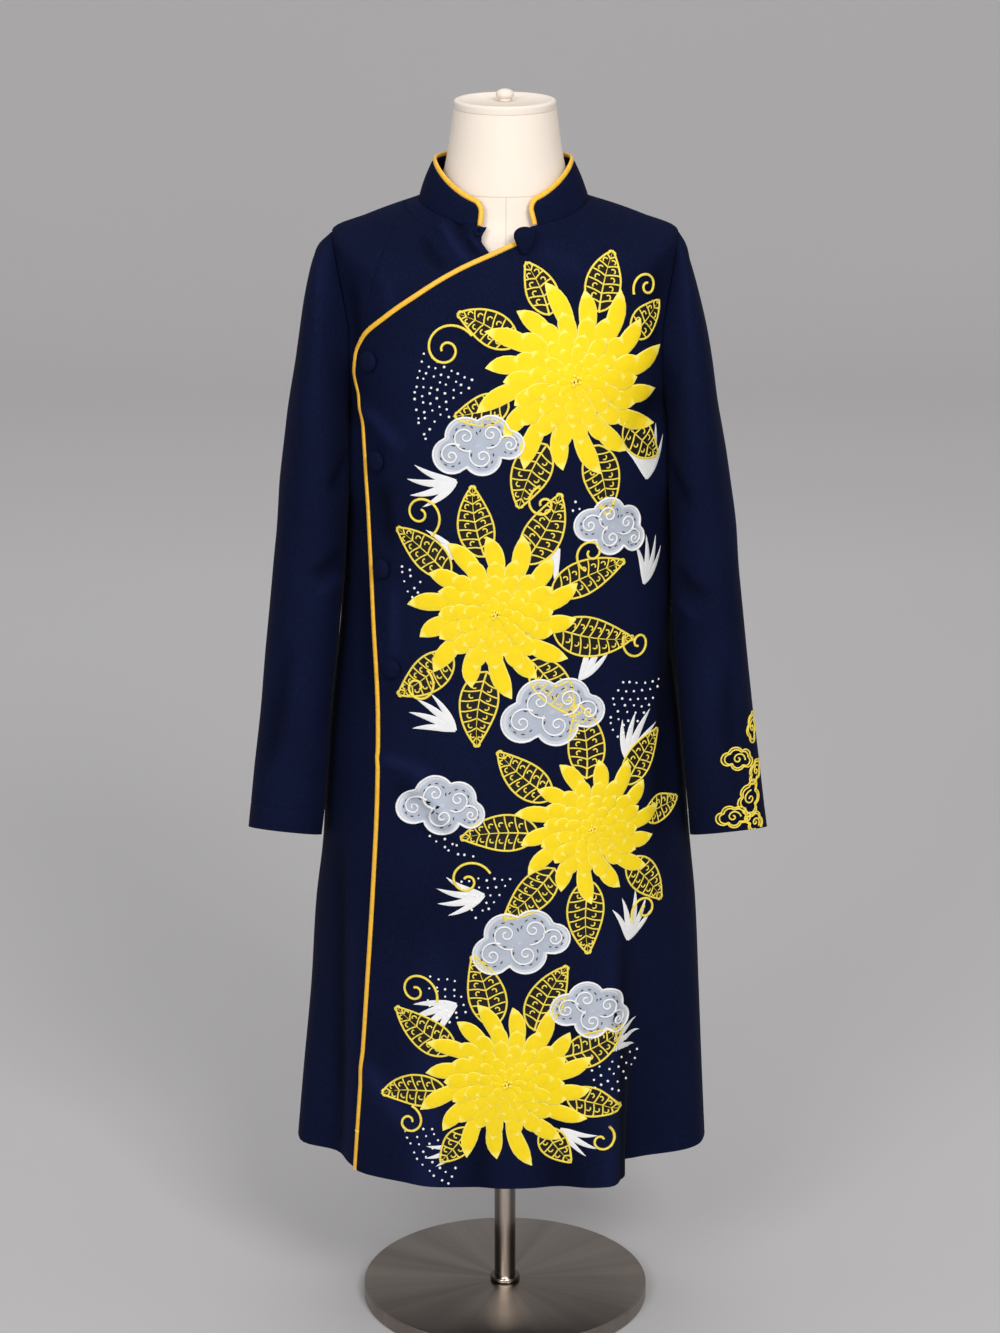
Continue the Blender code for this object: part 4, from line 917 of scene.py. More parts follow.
def keep_relief(made, reliefs):
    """Stores the height of the creases at each point, outer then inner, for the cloth's shade."""
    stored = made.data.attributes.new("relief", "FLOAT", "POINT")
    stored.data.foreach_set("value", reliefs + reliefs)


def flat_height(level, angle):
    return 0.0


def make_body():
    edge = 0.5 * PIPING_WIDTH + SEAM_GAP
    front, grid = cloth_panel(
        "front_panel", NECK_LEVEL, lambda level: beside_piping(level, edge),
        lambda level: side_angle(level, 1.0, False), 104, overlap_height, FRONT_CREASES,
        (False, True))
    side, _ = cloth_panel(
        "side_front_panel", FRONT_SEAM_TOP - 0.5 * FRONT_SEAM_STEP,
        lambda level: side_angle(level, -1.0, False),
        lambda level: seam_beside(level, front_seam_angle(level), -1.0), 16, flat_height,
        FRONT_CREASES, (True, False))

    def underlap_left(level):
        if level >= FRONT_SEAM_TOP - FRONT_SEAM_STEP:
            return side_angle(level, -1.0, False)
        return seam_beside(level, front_seam_angle(level), 1.0)

    under, _ = cloth_panel("underlap_panel", NECK_LEVEL, underlap_left, underlap_angle, 30,
                           underlap_height, UNDERLAP_CREASES, (False, False), (True, False))
    back, _ = cloth_panel(
        "back_panel", NECK_LEVEL, lambda level: side_angle(level, 1.0, True),
        lambda level: 360.0 + side_angle(level, -1.0, True), 104, flat_height, BACK_CREASES,
        (True, True))
    return front, side, under, back, grid


def sleeve_section(curves, side, along, turn):
    """A point on the sleeve's outline: turn 0 is the inner side, 90 degrees the front."""
    outer = Vector((side * curves["outer_x"](along), 0.0, curves["outer_z"](along)))
    inner = Vector((side * curves["inner_x"](along), 0.0, curves["inner_z"](along)))
    front = curves["front_y"](along)
    back = curves["back_y"](along)
    power = 2.0 / SLEEVE_ROUNDNESS
    c = signed_power(math.cos(turn), power)
    s = signed_power(math.sin(turn), power)
    place = 0.5 * (outer + inner) - 0.5 * (outer - inner) * c
    place.y = 0.5 * (front + back) - 0.5 * (back - front) * s
    place.z += curves["front_rise"](along) * s
    return place


def make_sleeve(name, side, rows, creases):
    curves = table_curves(SLEEVE_COLUMNS, rows, "along")
    creases = [(crease, first * SLEEVE_TURN, z0, last * SLEEVE_TURN, z1, *shape)
               for crease, first, z0, last, z1, *shape in creases + SLEEVE_CREASES_BOTH]
    count = 72
    loop = armhole_loop(side, count)
    tucked = [0.5 + 0.5 * math.cos(2.0 * math.pi * i / count) for i in range(count)]
    start = [place + out * SLEEVE_GAP + normal * (SLEEVE_SINK - SLEEVE_TUCK * share)
             for (place, normal, out), share in zip(loop, tucked)]
    first = [sleeve_section(curves, side, 0.0, 2.0 * math.pi * i / count) for i in range(count)]
    first_middle = sum(first, Vector()) / count
    stations = [0.0, 0.0008, 0.0018, 0.0034, EVEN_START]
    stations += [EVEN_START + EVEN_SHARE * i / EVEN_ROWS for i in range(1, EVEN_ROWS + 1)]
    stations += [1.0 - d for d in (0.0395, 0.0385, 0.0375, 0.0365, 0.0355, 0.024, 0.012, 0.005,
                                   0.002, 0.0008, 0.0)]
    grid = [start]
    for along in stations[1:]:
        share = smooth_step(along / HEAD_BLEND)
        section = [sleeve_section(curves, side, along, 2.0 * math.pi * i / count)
                   for i in range(count)]
        shift = sum(section, Vector()) / count - first_middle
        grid.append([(start[i] + shift).lerp(section[i], share) for i in range(count)])
    normals = grid_normals(grid, True)
    if normals[-1][count // 2].x * side < 0.0:
        normals = [[-n for n in row] for row in normals]
    outer = []
    inner = []
    reliefs = []
    for i, (row, row_normals) in enumerate(zip(grid, normals)):
        outer_row = []
        inner_row = []
        for j, (place, normal) in enumerate(zip(row, row_normals)):
            turn = 360.0 * j / count * SLEEVE_TURN
            lift = crease_height(creases, turn, place.z)
            lift += ripple(place, *SLEEVE_RIPPLE)
            lift *= smooth_step(stations[i] / HEAD_CALM)
            reliefs.append(lift)
            ease = math.sin(math.pi * min(stations[i] / HEAD_FULL, 1.0))
            lift += HEAD_EASE * ease * (1.0 - tucked[j])
            lift -= edge_roll(stations[i] * SLEEVE_LENGTH) * (1.0 - tucked[j])
            lift += hem_mark((1.0 - stations[i]) * SLEEVE_LENGTH)
            inward = -normal
            if i == 0:
                out = loop[j][2]
                inward = (inward - min(inward.dot(out), 0.0) * out).normalized()
            face = place - inward * lift
            outer_row.append(face)
            inner_row.append(face + inward * CLOTH)
        outer.append(outer_row)
        inner.append(inner_row)
    walls = (outer, inner) if side > 0.0 else (inner, outer)
    made = shell(name, *walls, closed=True)
    keep_relief(made, reliefs)
    return made, outer


def collar_place(angle, height):
    """A point of the collar's outer face: metres up from its base seam."""
    base = coat.raised(NECK_LEVEL, angle, 0.0)
    c = math.cos(math.radians(angle))
    s = math.sin(math.radians(angle))
    depth = COLLAR_TOP["front"] if c > 0 else COLLAR_TOP["back"]
    end_z = COLLAR_TOP["front_z"] if c > 0 else COLLAR_TOP["back_z"]
    z = COLLAR_TOP["side_z"] + (end_z - COLLAR_TOP["side_z"]) * abs(c) ** 1.6
    top = Vector((COLLAR_TOP["middle_x"] + COLLAR_TOP["half"] * s, -depth * c, z))
    rise = top - base
    share = height / rise.length
    bow = COLLAR_BOW * 4.0 * share * (1.0 - share)
    return base + rise * share + Vector((s, -c, 0.0)) * bow, rise.length


def collar_normal(angle, height):
    around = collar_place(angle + WIDE_STEP, height)[0] - collar_place(angle - WIDE_STEP, height)[0]
    up = collar_place(angle, height + 0.001)[0] - collar_place(angle, height)[0]
    return around.cross(up).normalized()


def collar_angle(distance, from_left):
    """The angle that lies this far round the collar from one of its front ends."""
    end = COLLAR_LEFT_END if from_left else 360.0 + COLLAR_RIGHT_END
    metres = (collar_place(end + ANGLE_STEP, 0.010)[0]
              - collar_place(end - ANGLE_STEP, 0.010)[0]).length
    turn = distance / metres
    return end + turn if from_left else end - turn


def corner_drop(distance):
    """How far the rounded front corner lies below the collar's top edge."""
    short = max(COLLAR_CORNER - distance, 0.0)
    return COLLAR_CORNER - math.sqrt(max(COLLAR_CORNER ** 2 - short ** 2, 0.0))


def make_collar():
    edge = PIPING_WIDTH + SEAM_GAP
    lift = -COLLAR_TURN_DOWN
    near = [COLLAR_CORNER * (1.0 - math.cos(0.5 * math.pi * i / CORNER_STEPS))
            for i in range(CORNER_STEPS + 1)]
    first = collar_angle(near[-1] + edge, True)
    last = collar_angle(near[-1] + edge, False)
    stations = [(collar_angle(d + edge, True), corner_drop(d)) for d in near]
    stations += [(first + (last - first) * i / COLLAR_ROUNDS, 0.0)
                 for i in range(1, COLLAR_ROUNDS)]
    stations += [(collar_angle(d + edge, False), corner_drop(d)) for d in reversed(near)]
    shares = [0.0, 0.012, 0.03, 0.06] + [0.1 + 0.084 * i for i in range(10)] + [0.94, 0.97, 1.0]
    outer = [[] for _ in shares]
    inner = [[] for _ in shares]
    for angle, drop in stations:
        full = collar_place(angle, 0.0)[1]
        top = full - edge - drop
        for row, share in enumerate(shares):
            height = lift + (top - lift) * share
            place = collar_place(angle, height)[0]
            normal = collar_normal(angle, height)
            wave = ripple(place, *COLLAR_RIPPLE) * math.sin(math.pi * share)
            wave -= edge_roll(height - lift) + edge_roll(top - height)
            outer[row].append(place + normal * wave)
            inner[row].append(place - normal * (COLLAR_CLOTH - wave))
    collar = shell("stand_collar", outer, inner)

    def bead(angle, height):
        return collar_place(angle, height)[0], collar_normal(angle, height)

    half = 0.5 * PIPING_WIDTH
    corner = COLLAR_CORNER + edge - half
    path = []
    for from_left in (True, False):
        end = []
        side = collar_angle(half, from_left)
        full = collar_place(side, 0.0)[1]
        straight = full - half - corner
        for i in range(BEAD_STEPS + 1):
            share = i / BEAD_STEPS
            end.append(bead(side, COLLAR_TURN_DOWN + (straight - COLLAR_TURN_DOWN) * share))
        for i in range(1, BEAD_STEPS + 1):
            turn = 0.5 * math.pi * i / BEAD_STEPS
            away = corner * (1.0 - math.cos(turn))
            angle = collar_angle(half + away, from_left)
            height = collar_place(angle, 0.0)[1] - half - corner + corner * math.sin(turn)
            end.append(bead(angle, height))
        path.append(end)
    start = collar_angle(half + corner, True)
    stop = collar_angle(half + corner, False)
    top_run = []
    for i in range(1, COLLAR_ROUNDS):
        angle = start + (stop - start) * i / COLLAR_ROUNDS
        top_run.append(bead(angle, collar_place(angle, 0.0)[1] - half))
    binding = piping("collar_binding", path[0] + top_run + path[1][::-1], 0.5 * COLLAR_CLOTH)
    return collar, binding


def piping(name, path, depth, width=PIPING_WIDTH, thick=PIPING_THICK):
    """Padded bias binding along (point, normal) pairs, sunk to the cloth's middle."""
    sides = 14
    points = []
    for i, (place, normal) in enumerate(path):
        along = (path[min(i + 1, len(path) - 1)][0] - path[max(i - 1, 0)][0]).normalized()
        across = along.cross(normal).normalized()
        out = across.cross(along).normalized()
        middle = place - out * depth
        for j in range(sides):
            turn = 2.0 * math.pi * j / sides
            points.append(middle + across * 0.5 * width * math.cos(turn)
                          + out * 0.5 * thick * math.sin(turn))
    rings = numbered(len(path), sides)
    faces = []
    for low, high in zip(rings, rings[1:]):
        faces += cross_strip(low, high, closed=True)
    faces += [rings[0], rings[-1][::-1]]
    made = mesh_object(name, points, faces, 50.0)
    flip_outwards(made)
    return made


def flip_outwards(made):
    work = bmesh.new()
    work.from_mesh(made.data)
    bmesh.ops.recalc_face_normals(work, faces=work.faces[:])
    work.to_mesh(made.data)
    work.free()


def make_front_piping():
    levels = [level for level in fine_levels(NECK_LEVEL) if level < PIPING_TOP - LEVEL_REACH]
    levels.append(PIPING_TOP)
    path = []
    for level in levels:
        angle = piping_angle(level)
        place = coat.point(level, angle)
        height = overlap_height(level, angle) + crease_height(FRONT_CREASES, place.x, place.z)
        height += ripple(place, *BODY_RIPPLE)
        path.append((coat.raised(level, angle, height), coat.normal(level, angle)))
    return piping("front_binding", path, 0.5 * CLOTH)


def make_tack(name):
    """A short bar of thread sewn over the binding a little above the hem."""
    level = level_at(TACK_HEIGHT, piping_angle)
    angle = piping_angle(level)
    place = coat.raised(level, angle, overlap_height(level, angle) - 0.5 * CLOTH)
    normal = coat.normal(level, angle)
    up = coat.point(level + SEAM_REACH, angle) - coat.point(level - SEAM_REACH, angle)
    across = up.cross(normal).normalized()
    path = []
    for i in range(TACK_STEPS + 1):
        turn = math.radians(-10.0 + 200.0 * i / TACK_STEPS)
        out = across * math.cos(turn) + normal * math.sin(turn)
        bar = across * 0.54 * PIPING_WIDTH * math.cos(turn)
        path.append((place + bar + normal * 0.58 * PIPING_THICK * math.sin(turn), out))
    return piping(name, path, 0.0, TACK_WIDTH, TACK_THICK)


def level_at(z, angle_of_level):
    """The level of the ring that meets a line of angles at this height, by halving."""
    low = HEM_LEVEL
    high = NECK_LEVEL
    for _ in range(HALVINGS):
        middle = 0.5 * (low + high)
        if coat.point(middle, angle_of_level(middle)).z < z:
            low = middle
        else:
            high = middle
    return 0.5 * (low + high)


# Hard and covered pieces, modelled with the edit tools


def active():
    return bpy.context.view_layer.objects.active


def take_name(made, name):
    made.name = name
    made.data.name = name
    return made


def select_only(*made):
    bpy.ops.object.select_all(action="DESELECT")
    for piece in made:
        piece.select_set(True)
    bpy.context.view_layer.objects.active = made[-1]


def edit_all():
    """Opens the active piece for editing, with all of it selected."""
    bpy.ops.object.mode_set(mode="EDIT")
    bpy.ops.mesh.select_all(action="SELECT")


def end_edit():
    bpy.ops.object.mode_set(mode="OBJECT")


def reshape(size=None, offset=None):
    """Scales the points of the active piece, then moves them."""
    edit_all()
    if size:
        bpy.ops.transform.resize(value=size)
    if offset:
        bpy.ops.transform.translate(value=offset)
    end_edit()


def apply_modifiers(made):
    select_only(made)
    for modifier in list(made.modifiers):
        bpy.ops.object.modifier_apply(modifier=modifier.name)


def bevel(made, width, segments):
    modifier = made.modifiers.new("rounded edges", "BEVEL")
    modifier.width = width
    modifier.segments = segments
    modifier.limit_method = "ANGLE"
    modifier.angle_limit = math.radians(40.0)
    apply_modifiers(made)


def smooth(made, angle=35.0):
    made.data.shade_smooth()
    made.data.set_sharp_from_angle(angle=math.radians(angle))


def cylinder(name, radius, low, high, sides, edge, segments=3):
    bpy.ops.mesh.primitive_cylinder_add(vertices=sides, radius=radius, depth=high - low)
    made = take_name(active(), name)
    bevel(made, edge, segments)
    select_only(made)
    reshape(offset=(0.0, 0.0, 0.5 * (low + high)))
    smooth(made)
    return made


def set_on(made, place, normal):
    """Turns a piece so that its Z is the normal and its Y points up, then moves it."""
    side = Vector((0.0, 0.0, 1.0)).cross(normal).normalized()
    rise = normal.cross(side).normalized()
    turn = Matrix((side, rise, normal)).transposed().to_4x4()
    turn.translation = place
    made.matrix_world = turn
    select_only(made)
    bpy.ops.object.transform_apply(location=True, rotation=True, scale=True)
    return made


def join(name, *made):
    select_only(*made)
    bpy.ops.object.join()
    return take_name(active(), name)


def dome(radius, height, rim):
    """Upper part of a ball, flattened, with a turned under rim."""
    bpy.ops.mesh.primitive_uv_sphere_add(segments=40, ring_count=24, radius=radius)
    edit_all()
    bpy.ops.mesh.bisect(plane_co=(0.0, 0.0, -0.34 * radius), plane_no=(0.0, 0.0, -1.0),
                        use_fill=True, clear_outer=True)
    end_edit()
    reshape((1.0, 1.0, (height - rim) / radius), (0.0, 0.0, rim))
    return active()


def make_buttons():
    pieces = []
    for number, (z, away) in enumerate(BUTTONS, start=1):
        level = level_at(z, piping_angle)
        angle = piping_angle(level) + away / coat.speed(level, piping_angle(level))
        seat = overlap_height(level, angle) + SEAM_GAP
        lift = 0.5 * (PIPING_THICK - CLOTH) + BUTTON_LIFT
        top = dome(BUTTON_RADIUS, lift + BUTTON_HEIGHT, lift + BUTTON_RIM)
        bpy.ops.mesh.primitive_cylinder_add(vertices=20, radius=SHANK_RADIUS,
                                            depth=SHANK_HEIGHT,
                                            location=(0.0, 0.0, 0.5 * SHANK_HEIGHT))
        made = join(f"covered_button_{number}", active(), top)
        pieces.append(set_on(made, coat.raised(level, angle, seat), coat.normal(level, angle)))
    return pieces


def make_drop_button():
    """Two covered halves sewn round a drop shaped core."""
    bpy.ops.mesh.primitive_uv_sphere_add(segments=44, ring_count=28, radius=DROP_RADIUS)
    made = take_name(active(), "drop_button")
    reshape(DROP_STRETCH)
    taper = made.modifiers.new("point at the foot", "SIMPLE_DEFORM")
    taper.deform_method = "TAPER"
    taper.deform_axis = "Y"
    taper.factor = DROP_TAPER
    apply_modifiers(made)
    reshape(offset=DROP_SHIFT)
    smooth(made, 60.0)
    return set_on(made, DROP_PLACE, DROP_FACING)


def make_loop():
    bpy.ops.mesh.primitive_torus_add(major_segments=36, minor_segments=14,
                                     major_radius=LOOP_RADIUS, minor_radius=LOOP_CORD_RADIUS)
    made = take_name(active(), "button_loop")
    reshape((1.0, LOOP_LENGTHEN, 1.0))
    smooth(made, 60.0)
    return set_on(made, coat.raised(LOOP_LEVEL, LOOP_ANGLE, LOOP_CORD_RADIUS + SEAM_GAP),
                  coat.normal(LOOP_LEVEL, LOOP_ANGLE))


def make_torso():
    """The padded form, closed flat under the hips and on top of the neck."""
    count = 96
    levels = [FORM_BOTTOM]
    for low, high, steps in ((FORM_BOTTOM, 1.180, 54), (1.180, 1.320, 34), (1.320, FORM_TOP, 12)):
        levels += [low + (high - low) * i / steps for i in range(1, steps + 1)]
    points = []
    for level in levels:
        points += [form.point(level, 360.0 * i / count) for i in range(count)]
    rings = numbered(len(levels), count)
    faces = []
    for low, high in zip(rings, rings[1:]):
        faces += strip(low, high, closed=True)
    faces += [rings[0][::-1], rings[-1]]
    made = mesh_object("covered_torso", points, faces, 50.0)
    flip_outwards(made)
    return made


def pick_top(made):
    """Selects the flat top of a piece and stays in edit mode."""
    select_only(made)
    bpy.ops.object.mode_set(mode="EDIT")
    bpy.ops.mesh.select_mode(type="FACE")
    bpy.ops.mesh.select_all(action="DESELECT")
    bpy.ops.object.mode_set(mode="OBJECT")
    for face in made.data.polygons:
        face.select = face.normal.z > 0.99 and face.area > 0.001
    bpy.ops.object.mode_set(mode="EDIT")


def make_neck_cap():
    low = NECK_TOP + SEAM_GAP
    bpy.ops.mesh.primitive_cylinder_add(vertices=96, radius=CAP_RADIUS, depth=CAP_HEIGHT,
                                        location=(0.0, 0.0, low + 0.5 * CAP_HEIGHT))
    cap = take_name(active(), "cap_of_neck")
    bpy.ops.object.transform_apply(location=True, rotation=True, scale=True)
    pick_top(cap)
    bpy.ops.mesh.bevel(offset=CAP_ROUND, segments=6)
    end_edit()
    pick_top(cap)
    bpy.ops.mesh.inset(thickness=CAP_RIM, depth=0.0)
    bpy.ops.mesh.inset(thickness=CAP_SLOPE, depth=-CAP_SINK)
    end_edit()
    smooth(cap, 50.0)
    seat = low + CAP_HEIGHT - CAP_SINK
    bpy.ops.mesh.primitive_uv_sphere_add(segments=36, ring_count=20, radius=KNOB_RADIUS)
    ball = active()
    reshape((1.0, 1.0, KNOB_FLATNESS), (0.0, 0.0, seat + KNOB_MIDDLE))
    smooth(ball, 60.0)
    neck = cylinder("knob_neck", KNOB_NECK_RADIUS, seat + 0.0001, seat + KNOB_NECK_HEIGHT, 36,
                    0.0007, 2)
    return cap, join("knob_of_cap", neck, ball)


def make_stand():
    foot = BASE_THICK + SEAM_GAP
    plate = cylinder("base_plate", BASE_RADIUS, 0.0, BASE_THICK, 160, BASE_EDGE, 4)
    post = cylinder("stand_pole", POLE_RADIUS, foot, FORM_BOTTOM - SEAM_GAP, 64, 0.0003, 1)
    bore = cylinder("pole_collar", FLANGE_RADIUS, foot, foot + FLANGE_HEIGHT, 64, 0.0018, 4)
    return plate, post, bore


# Embroidery, laid on the cloth


class Ground:
    """The outer face of a panel, to lay flat motifs on."""

    def __init__(self, grid):
        rows = numbered(len(grid), len(grid[0]))
        faces = [face for low, high in zip(rows, rows[1:]) for face in strip(low, high)]
        self.tree = BVHTree.FromPolygons([p for row in grid for p in row], faces)

    def frame(self, x, z):
        place, normal, _, _ = self.tree.ray_cast(Vector((x, -0.5, z)), Vector((0.0, 1.0, 0.0)))
        if normal.y > 0.0:
            normal = -normal
        up = (Vector((0.0, 0.0, 1.0)) - normal * normal.z).normalized()
        return place, normal, up.cross(normal).normalized(), up

    def lay(self, frame, a, b, height):
        """A point of a motif: a to the viewer's right, b up, then out from the cloth."""
        place, normal, across, up = frame
        above = place + across * a + up * b + normal * 0.05
        found, facing, _, _ = self.tree.ray_cast(above, -normal)
        if found is None:
            found, facing, _, _ = self.tree.find_nearest(above)
        if facing.dot(normal) < 0.0:
            facing = -facing
        return found + facing * height


class Stitching:
    """Collects stitched shapes for one piece, with thread directions as UV in metres."""

    def __init__(self, ground):
        self.ground = ground
        self.points = []
        self.faces = []
        self.uvs = []
        self.edge = []

    def add(self, frame, a, b, height, u, v, edge=0.0):
        self.points.append(self.ground.lay(frame, a, b, height))
        self.uvs.append((u, v))
        self.edge.append(edge)
        return len(self.points) - 1

    def petal(self, frame, a, b, angle, length, width, lift, rise, curl=0.0, fullness=0.62):
        """A pointed satin stitched petal from its root (a, b), domed across its width."""
        rows = 9
        across = (-1.0, -1.0, -0.82, -0.42, 0.0, 0.42, 0.82, 1.0, 1.0)
        turn = math.radians(angle)
        grid = []
        for i in range(rows + 1):
            t = i / rows
            bend = turn + math.radians(curl) * t
            line = []
            half = 0.5 * width * petal_width(t, fullness)
            along = length * t
            middle_a = a + along * math.cos(turn + 0.5 * math.radians(curl) * t)
            middle_b = b + along * math.sin(turn + 0.5 * math.radians(curl) * t)
            for j, share in enumerate(across):
                da = -math.sin(bend) * half * share
                db = math.cos(bend) * half * share
                if j in (0, len(across) - 1):
                    height = 0.00008
                else:
                    height = lift + rise * (1.0 - share * share) * (0.45 + 0.55 * math.sin(math.pi * t))
                line.append(self.add(frame, middle_a + da, middle_b + db, height,
                                     half * share, along, abs(share) if abs(share) > t else t))
            grid.append(line)
        for low, high in zip(grid, grid[1:]):
            self.faces += cross_strip(low, high)

    def cord(self, frame, path, radius, lift=0.0, closed=False, taper=False, rise=1.0):
        """A laid cord along flat (a, b) points. Its rise is a share of a round cord's."""
        sides = 6
        count = len(path)
        rings = []
        run = 0.0
        for i, (a, b) in enumerate(path):
            before = path[i - 1] if i > 0 or closed else path[i]
            after = path[(i + 1) % count] if i < count - 1 or closed else path[i]
            da = after[0] - before[0]
            db = after[1] - before[1]
            size = math.hypot(da, db) or 1.0
            here = radius * (max(1.0 - i / count, 0.25) if taper else 1.0)
            ring = []
            for j in range(sides):
                turn = 2.0 * math.pi * j / sides
                out = here * math.cos(turn)
                height = lift + here * rise * (0.75 + math.sin(turn))
                ring.append(self.add(frame, a - db / size * out, b + da / size * out,
                                     max(height, ON_CLOTH), j * radius, run))
            rings.append(ring)
            run += 0.5 * size
        for low, high in zip(rings, rings[1:] + rings[:1] if closed else rings[1:]):
            self.faces += cross_strip(low, high, closed=True)
        if not closed:
            self.faces += [rings[0][::-1], rings[-1]]

    def pad(self, frame, outline, lift, rise):
        """A filled shape with a soft edge, from its outline round (0, 0)."""
        count = len(outline)
        shares = (0.0, 0.25, 0.5, 0.72, 0.88, 0.96, 1.0, 1.0)
        middle = (sum(p[0] for p in outline) / count, sum(p[1] for p in outline) / count)
        rings = []
        for step, share in enumerate(shares[1:], start=1):
            ring = []
            for a, b in outline:
                if step == len(shares) - 1:
                    height = ON_CLOTH
                else:
                    height = lift + rise * math.sqrt(max(1.0 - share ** 6, 0.0))
                here_a = middle[0] + (a - middle[0]) * share
                here_b = middle[1] + (b - middle[1]) * share
                ring.append(self.add(frame, here_a, here_b, height, here_a, here_b, share))
            rings.append(ring)
        centre = self.add(frame, middle[0], middle[1], lift + rise, middle[0], middle[1], 0.0)
        for i in range(count):
            j = (i + 1) % count
            self.faces.append((centre, rings[0][i], rings[0][j]))
            for inner, outer in zip(rings, rings[1:]):
                self.faces.append((inner[i], outer[i], outer[j], inner[j]))

    def dot(self, frame, a, b, radius, height=0.0):
        """A small French knot."""
        sides = 8
        rings = []
        for share, up in ((1.0, 0.05), (0.95, 0.55), (0.6, 0.95)):
            rings.append([self.add(frame, a + radius * share * math.cos(2 * math.pi * i / sides),
                                   b + radius * share * math.sin(2 * math.pi * i / sides),
                                   height + radius * up, 0.0, 0.0) for i in range(sides)])
        top = self.add(frame, a, b, height + radius * 1.1, 0.0, 0.0)
        for low, high in zip(rings, rings[1:]):
            self.faces += strip(low, high, closed=True)
        for i in range(sides):
            self.faces.append((rings[-1][i], rings[-1][(i + 1) % sides], top))

    def build(self, name):
        made = mesh_object(name, self.points, self.faces, 180.0)
        layer = made.data.uv_layers.new(name="thread")
        for loop in made.data.loops:
            layer.data[loop.index].uv = self.uvs[loop.vertex_index]
        edge = made.data.attributes.new("edge", "FLOAT", "POINT")
        for i, value in enumerate(self.edge):
            edge.data[i].value = value
        return made


def petal_width(t, fullness):
    """Share of the full width at a share of the length: a narrow root and a pointed tip."""
    if t < fullness:
        return 0.42 + 0.58 * math.sin(0.5 * math.pi * t / fullness)
    return max(math.cos(0.5 * math.pi * (t - fullness) / (1.0 - fullness)) ** 0.8, 0.03)


def polar(reach, degrees):
    """A flat place that lies this far away in this direction."""
    turn = math.radians(degrees)
    return reach * math.cos(turn), reach * math.sin(turn)


def rotated(a, b, degrees):
    c, s = polar(1.0, degrees)
    return a * c - b * s, a * s + b * c


def arc_points(a, b, radius, start, end, count, growth=1.0):
    """Points of a spiral: its radius changes by the growth factor from start to end."""
    points = []
    for i in range(count + 1):
        t = i / count
        da, db = polar(radius * growth ** t, start + (end - start) * t)
        points.append((a + da, b + db))
    return points


def make_blossom(ground, name, x, z, radius, petals, turn):
    """A chrysanthemum: long outer flames, four rings of petals and a knotted heart."""
    frame = ground.frame(x, z)
    stitched = Stitching(ground)
    random = Random(name)
    for number, (root, length, fewer, width, lift, curl) in enumerate(BLOSSOM_RINGS):
        count = petals - fewer
        for i in range(count):
            angle = turn + 360.0 * (i + 0.5 * (number % 2)) / count + random.uniform(-2.0, 2.0)
            away = radius * root
            long = radius * length * (1.0 if i % 2 == 0 else 0.86) * random.uniform(0.96, 1.03)
            wide = 2.0 * math.pi * radius * (root + 0.5 * length) / count * width
            stitched.petal(frame, *polar(away, angle), angle, long, wide, lift, PETAL_RISE,
                           curl + random.uniform(-6.0, 6.0))
    for i in range(9):
        angle = 2.4 * i
        away = radius * 0.029 * math.sqrt(i)
        stitched.dot(frame, away * math.cos(angle), away * math.sin(angle), radius * 0.026, HEART_LIFT)
    return stitched.build(f"{name}_petals")


def cloud_outline(size, tilt, count=84):
    """The outline of the lobes' union, swept round the cloud's middle."""
    outline = []
    for i in range(count):
        angle = 2.0 * math.pi * i / count
        direction = (math.cos(angle), math.sin(angle))
        reach = 0.0
        for lobe_x, lobe_z, radius in CLOUD_LOBES:
            along = lobe_x * direction[0] + lobe_z * direction[1]
            aside = lobe_x * lobe_x + lobe_z * lobe_z - along * along
            if aside < radius * radius:
                reach = max(reach, along + math.sqrt(radius * radius - aside))
        outline.append(rotated(size * reach * direction[0], size * reach * direction[1], tilt))
    return outline


def make_cloud(ground, dark, name, x, z, size, tilt):
    """A padded cloud, its white outline and scrolls, and dark dashes between the scrolls."""
    frame = ground.frame(x, z)
    outline = cloud_outline(size, tilt)
    filling = Stitching(ground)
    filling.pad(frame, outline, CLOUD_LIFT, CLOUD_RISE)
    cords = Stitching(ground)
    cords.cord(frame, outline, CLOUD_EDGE_CORD, CORD_LIFT, closed=True)
    for number, (lobe_x, lobe_z, radius) in enumerate(CLOUD_LOBES):
        a, b = (size * share for share in rotated(lobe_x, lobe_z, tilt))
        facing = math.degrees(math.atan2(b, a))
        hand = 1.0 if number % 2 == 0 else -1.0
        cords.cord(frame, arc_points(a, b, size * radius * 0.78, facing - hand * 150.0,
                                     facing + hand * 420.0, 52, 0.14), SCROLL_CORD, SCROLL_LIFT)
        for i in range(7):
            start = facing - 130.0 + 40.0 * i
            dark.cord(frame, arc_points(a, b, size * radius * 0.60, start, start + 15.0, 3),
                      DASH_CORD, DASH_LIFT)
    return filling.build(f"{name}_filling"), cords


